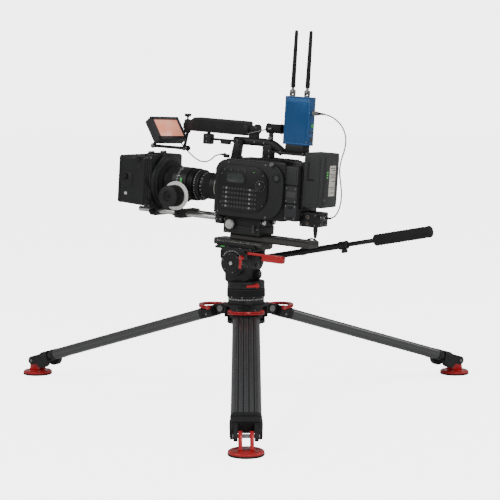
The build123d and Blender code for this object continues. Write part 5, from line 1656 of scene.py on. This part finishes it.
class FILMCAM_OT_follow_focus(bpy.types.Operator):
    """Models the follow focus: rod clamp, arm, gearbox, marking disc and hand wheel"""

    bl_idname = "filmcam.follow_focus"
    bl_label = "Follow focus"

    def execute(self, context):
        look = shared()
        wheel = spot("focus_knob_turn")
        y, z = wheel.y, wheel.z
        clamp = carve(
            block((-42, y - 12, 496), (62, y + 11, 520), 1.4, 5, Y), drum(7.6, 40, (30, y + 20, ROD_Z), -Y, 0,
                                                                          40))
        clamp = carve(clamp, drum(7.6, 40, (-30, y + 20, ROD_Z), -Y, 0, 40))
        arm = plate(
            [(y - 12, 512), (y + 11, 512), (y + 9, z - 10), (y - 10, z - 10)], 12, (50, 0, 0), Y, Z, 1.6, 2)
        # Near-black face on the arm, painted shade in its window.
        window = [rounded_face(y - 5, y + 5, 522, z - 24, 61.6, 62.2, 3, 0)]
        box = block((50, y - 14, z - 20), (73, y + 12.6, z + 20), 1.8, 7, X)
        boss = turned([(0, 5.2), (0, 17), (1.4, 18), (1.6, 12), (1.8, 5.2)], (72.0, y, z), X, 48, 0)
        lock = [ribbed(7, 9, (-46, y, ROD_Z), -X, 14, 0.9, 0.3), drum(4, 6, (-41, y, ROD_Z), -X, 0.3, 24),
                turned([(0, 0), (0, 3), (10, 3), (10, 0)], (62, y, 506), X, 24, 0.2)]
        tee = [block((70, y - 10, 503.6), (75, y + 10, 508.4), 1.4)]
        screws = [screw((x, y - 14, z + b), -Y, 2.0, 1.2) for x in (55, 68) for b in (-14, 14)]
        screws += [screw((x, y - 12, ROD_Z), -Y, 2.4, 1.2) for x in (-12, 12)]
        groups = {look.casting: [clamp, arm, box, boss], look.dark: window, look.rubber: lock[:1],
                  look.steel: lock[1:] + screws, look.black: tee}
        assemble("focus_gearbox", groups, "camera", RIG, ["follow_focus"])
        disc = turned([(0, 0), (0, 40), (0.8, 41), (3.2, 41), (4, 40), (4, 33.4), (3.5, 33), (3.5, 28),
                       (4, 27.6), (4, 0)], (74, y, z), X, 96, 0)
        grip = ribbed(30.4, 30, (84, y, z), X, 40, 1.4, 0.4)
        base = turned([(0, 0), (0, 30.6), (1, 31), (4, 31), (6, 29), (6, 0)], (78.1, y, z), X, 64, 0.2)
        crown = turned([(0, 0), (0, 29.4), (1.6, 30.4), (5, 29.8), (7.8, 26), (7.8, 14.5), (3.5, 12),
                        (3.5, 4), (4.5, 3.4), (4.5, 0)], (114, y, z), X, 64, 0)
        spindle = drum(5, 12, (64, y, z), X, 0.3, 28)
        # Near-black disc in the crown's end cup, painted shade.
        square = drum(5.2, 2.0, (118.4, y, z), X, 0.3, 24)
        marks = []
        for index in range(60):
            reach = 5 if index % 5 == 0 else 3
            mark = block((77.9, -0.25, 39.4 - reach), (78.15, 0.25, 39.4), 0)
            bmesh.ops.rotate(
                mark, cent=(0, 0, 0), matrix=Matrix.Rotation(2 * pi * index / 60, 3, "X"), verts=mark.verts)
            bmesh.ops.translate(mark, vec=(0, y, z), verts=mark.verts)
            marks.append(mark)
        assemble("hand_wheel_shape", {look.white: [disc], look.rubber: [grip], look.casting: [base, crown],
                                      look.steel: [spindle], look.dark: [square], look.key: marks},
                 "hand_wheel", RIG, ["focus_knob"])
        return {"FINISHED"}


# --- panel and registration ---------------------------------------------------------------------------
class FILMCAM_PT_panel(bpy.types.Panel):
    """Lists the object's pieces and its settings"""

    bl_idname = "FILMCAM_PT_panel"
    bl_label = "Film camera"
    bl_space_type = "VIEW_3D"
    bl_region_type = "UI"
    bl_category = "Film Camera"

    def draw(self, context):
        look = context.scene.film_camera
        for name in FilmCameraSettings.__annotations__:
            self.layout.prop(look, name)
        for operator in OPERATORS:
            self.layout.operator(operator.bl_idname)


OPERATORS = (
    FILMCAM_OT_view, FILMCAM_OT_cords, FILMCAM_OT_finishes, FILMCAM_OT_stage,
    FILMCAM_OT_legs, FILMCAM_OT_head, FILMCAM_OT_plates, FILMCAM_OT_body,
    FILMCAM_OT_panel, FILMCAM_OT_rear, FILMCAM_OT_handle, FILMCAM_OT_transmitter,
    FILMCAM_OT_monitor, FILMCAM_OT_lens, FILMCAM_OT_matte_box, FILMCAM_OT_follow_focus,
)
CLASSES = (FilmCameraSettings,) + OPERATORS + (FILMCAM_PT_panel,)


def register():
    for item in CLASSES:
        bpy.utils.register_class(item)
    bpy.types.Scene.film_camera = bpy.props.PointerProperty(type=FilmCameraSettings)


def unregister():
    del bpy.types.Scene.film_camera
    for item in reversed(CLASSES):
        bpy.utils.unregister_class(item)


def main():
    register()
    for operator in OPERATORS:
        group, name = operator.bl_idname.split(".")
        getattr(getattr(bpy.ops, group), name)()


if __name__ == "__main__":
    main()
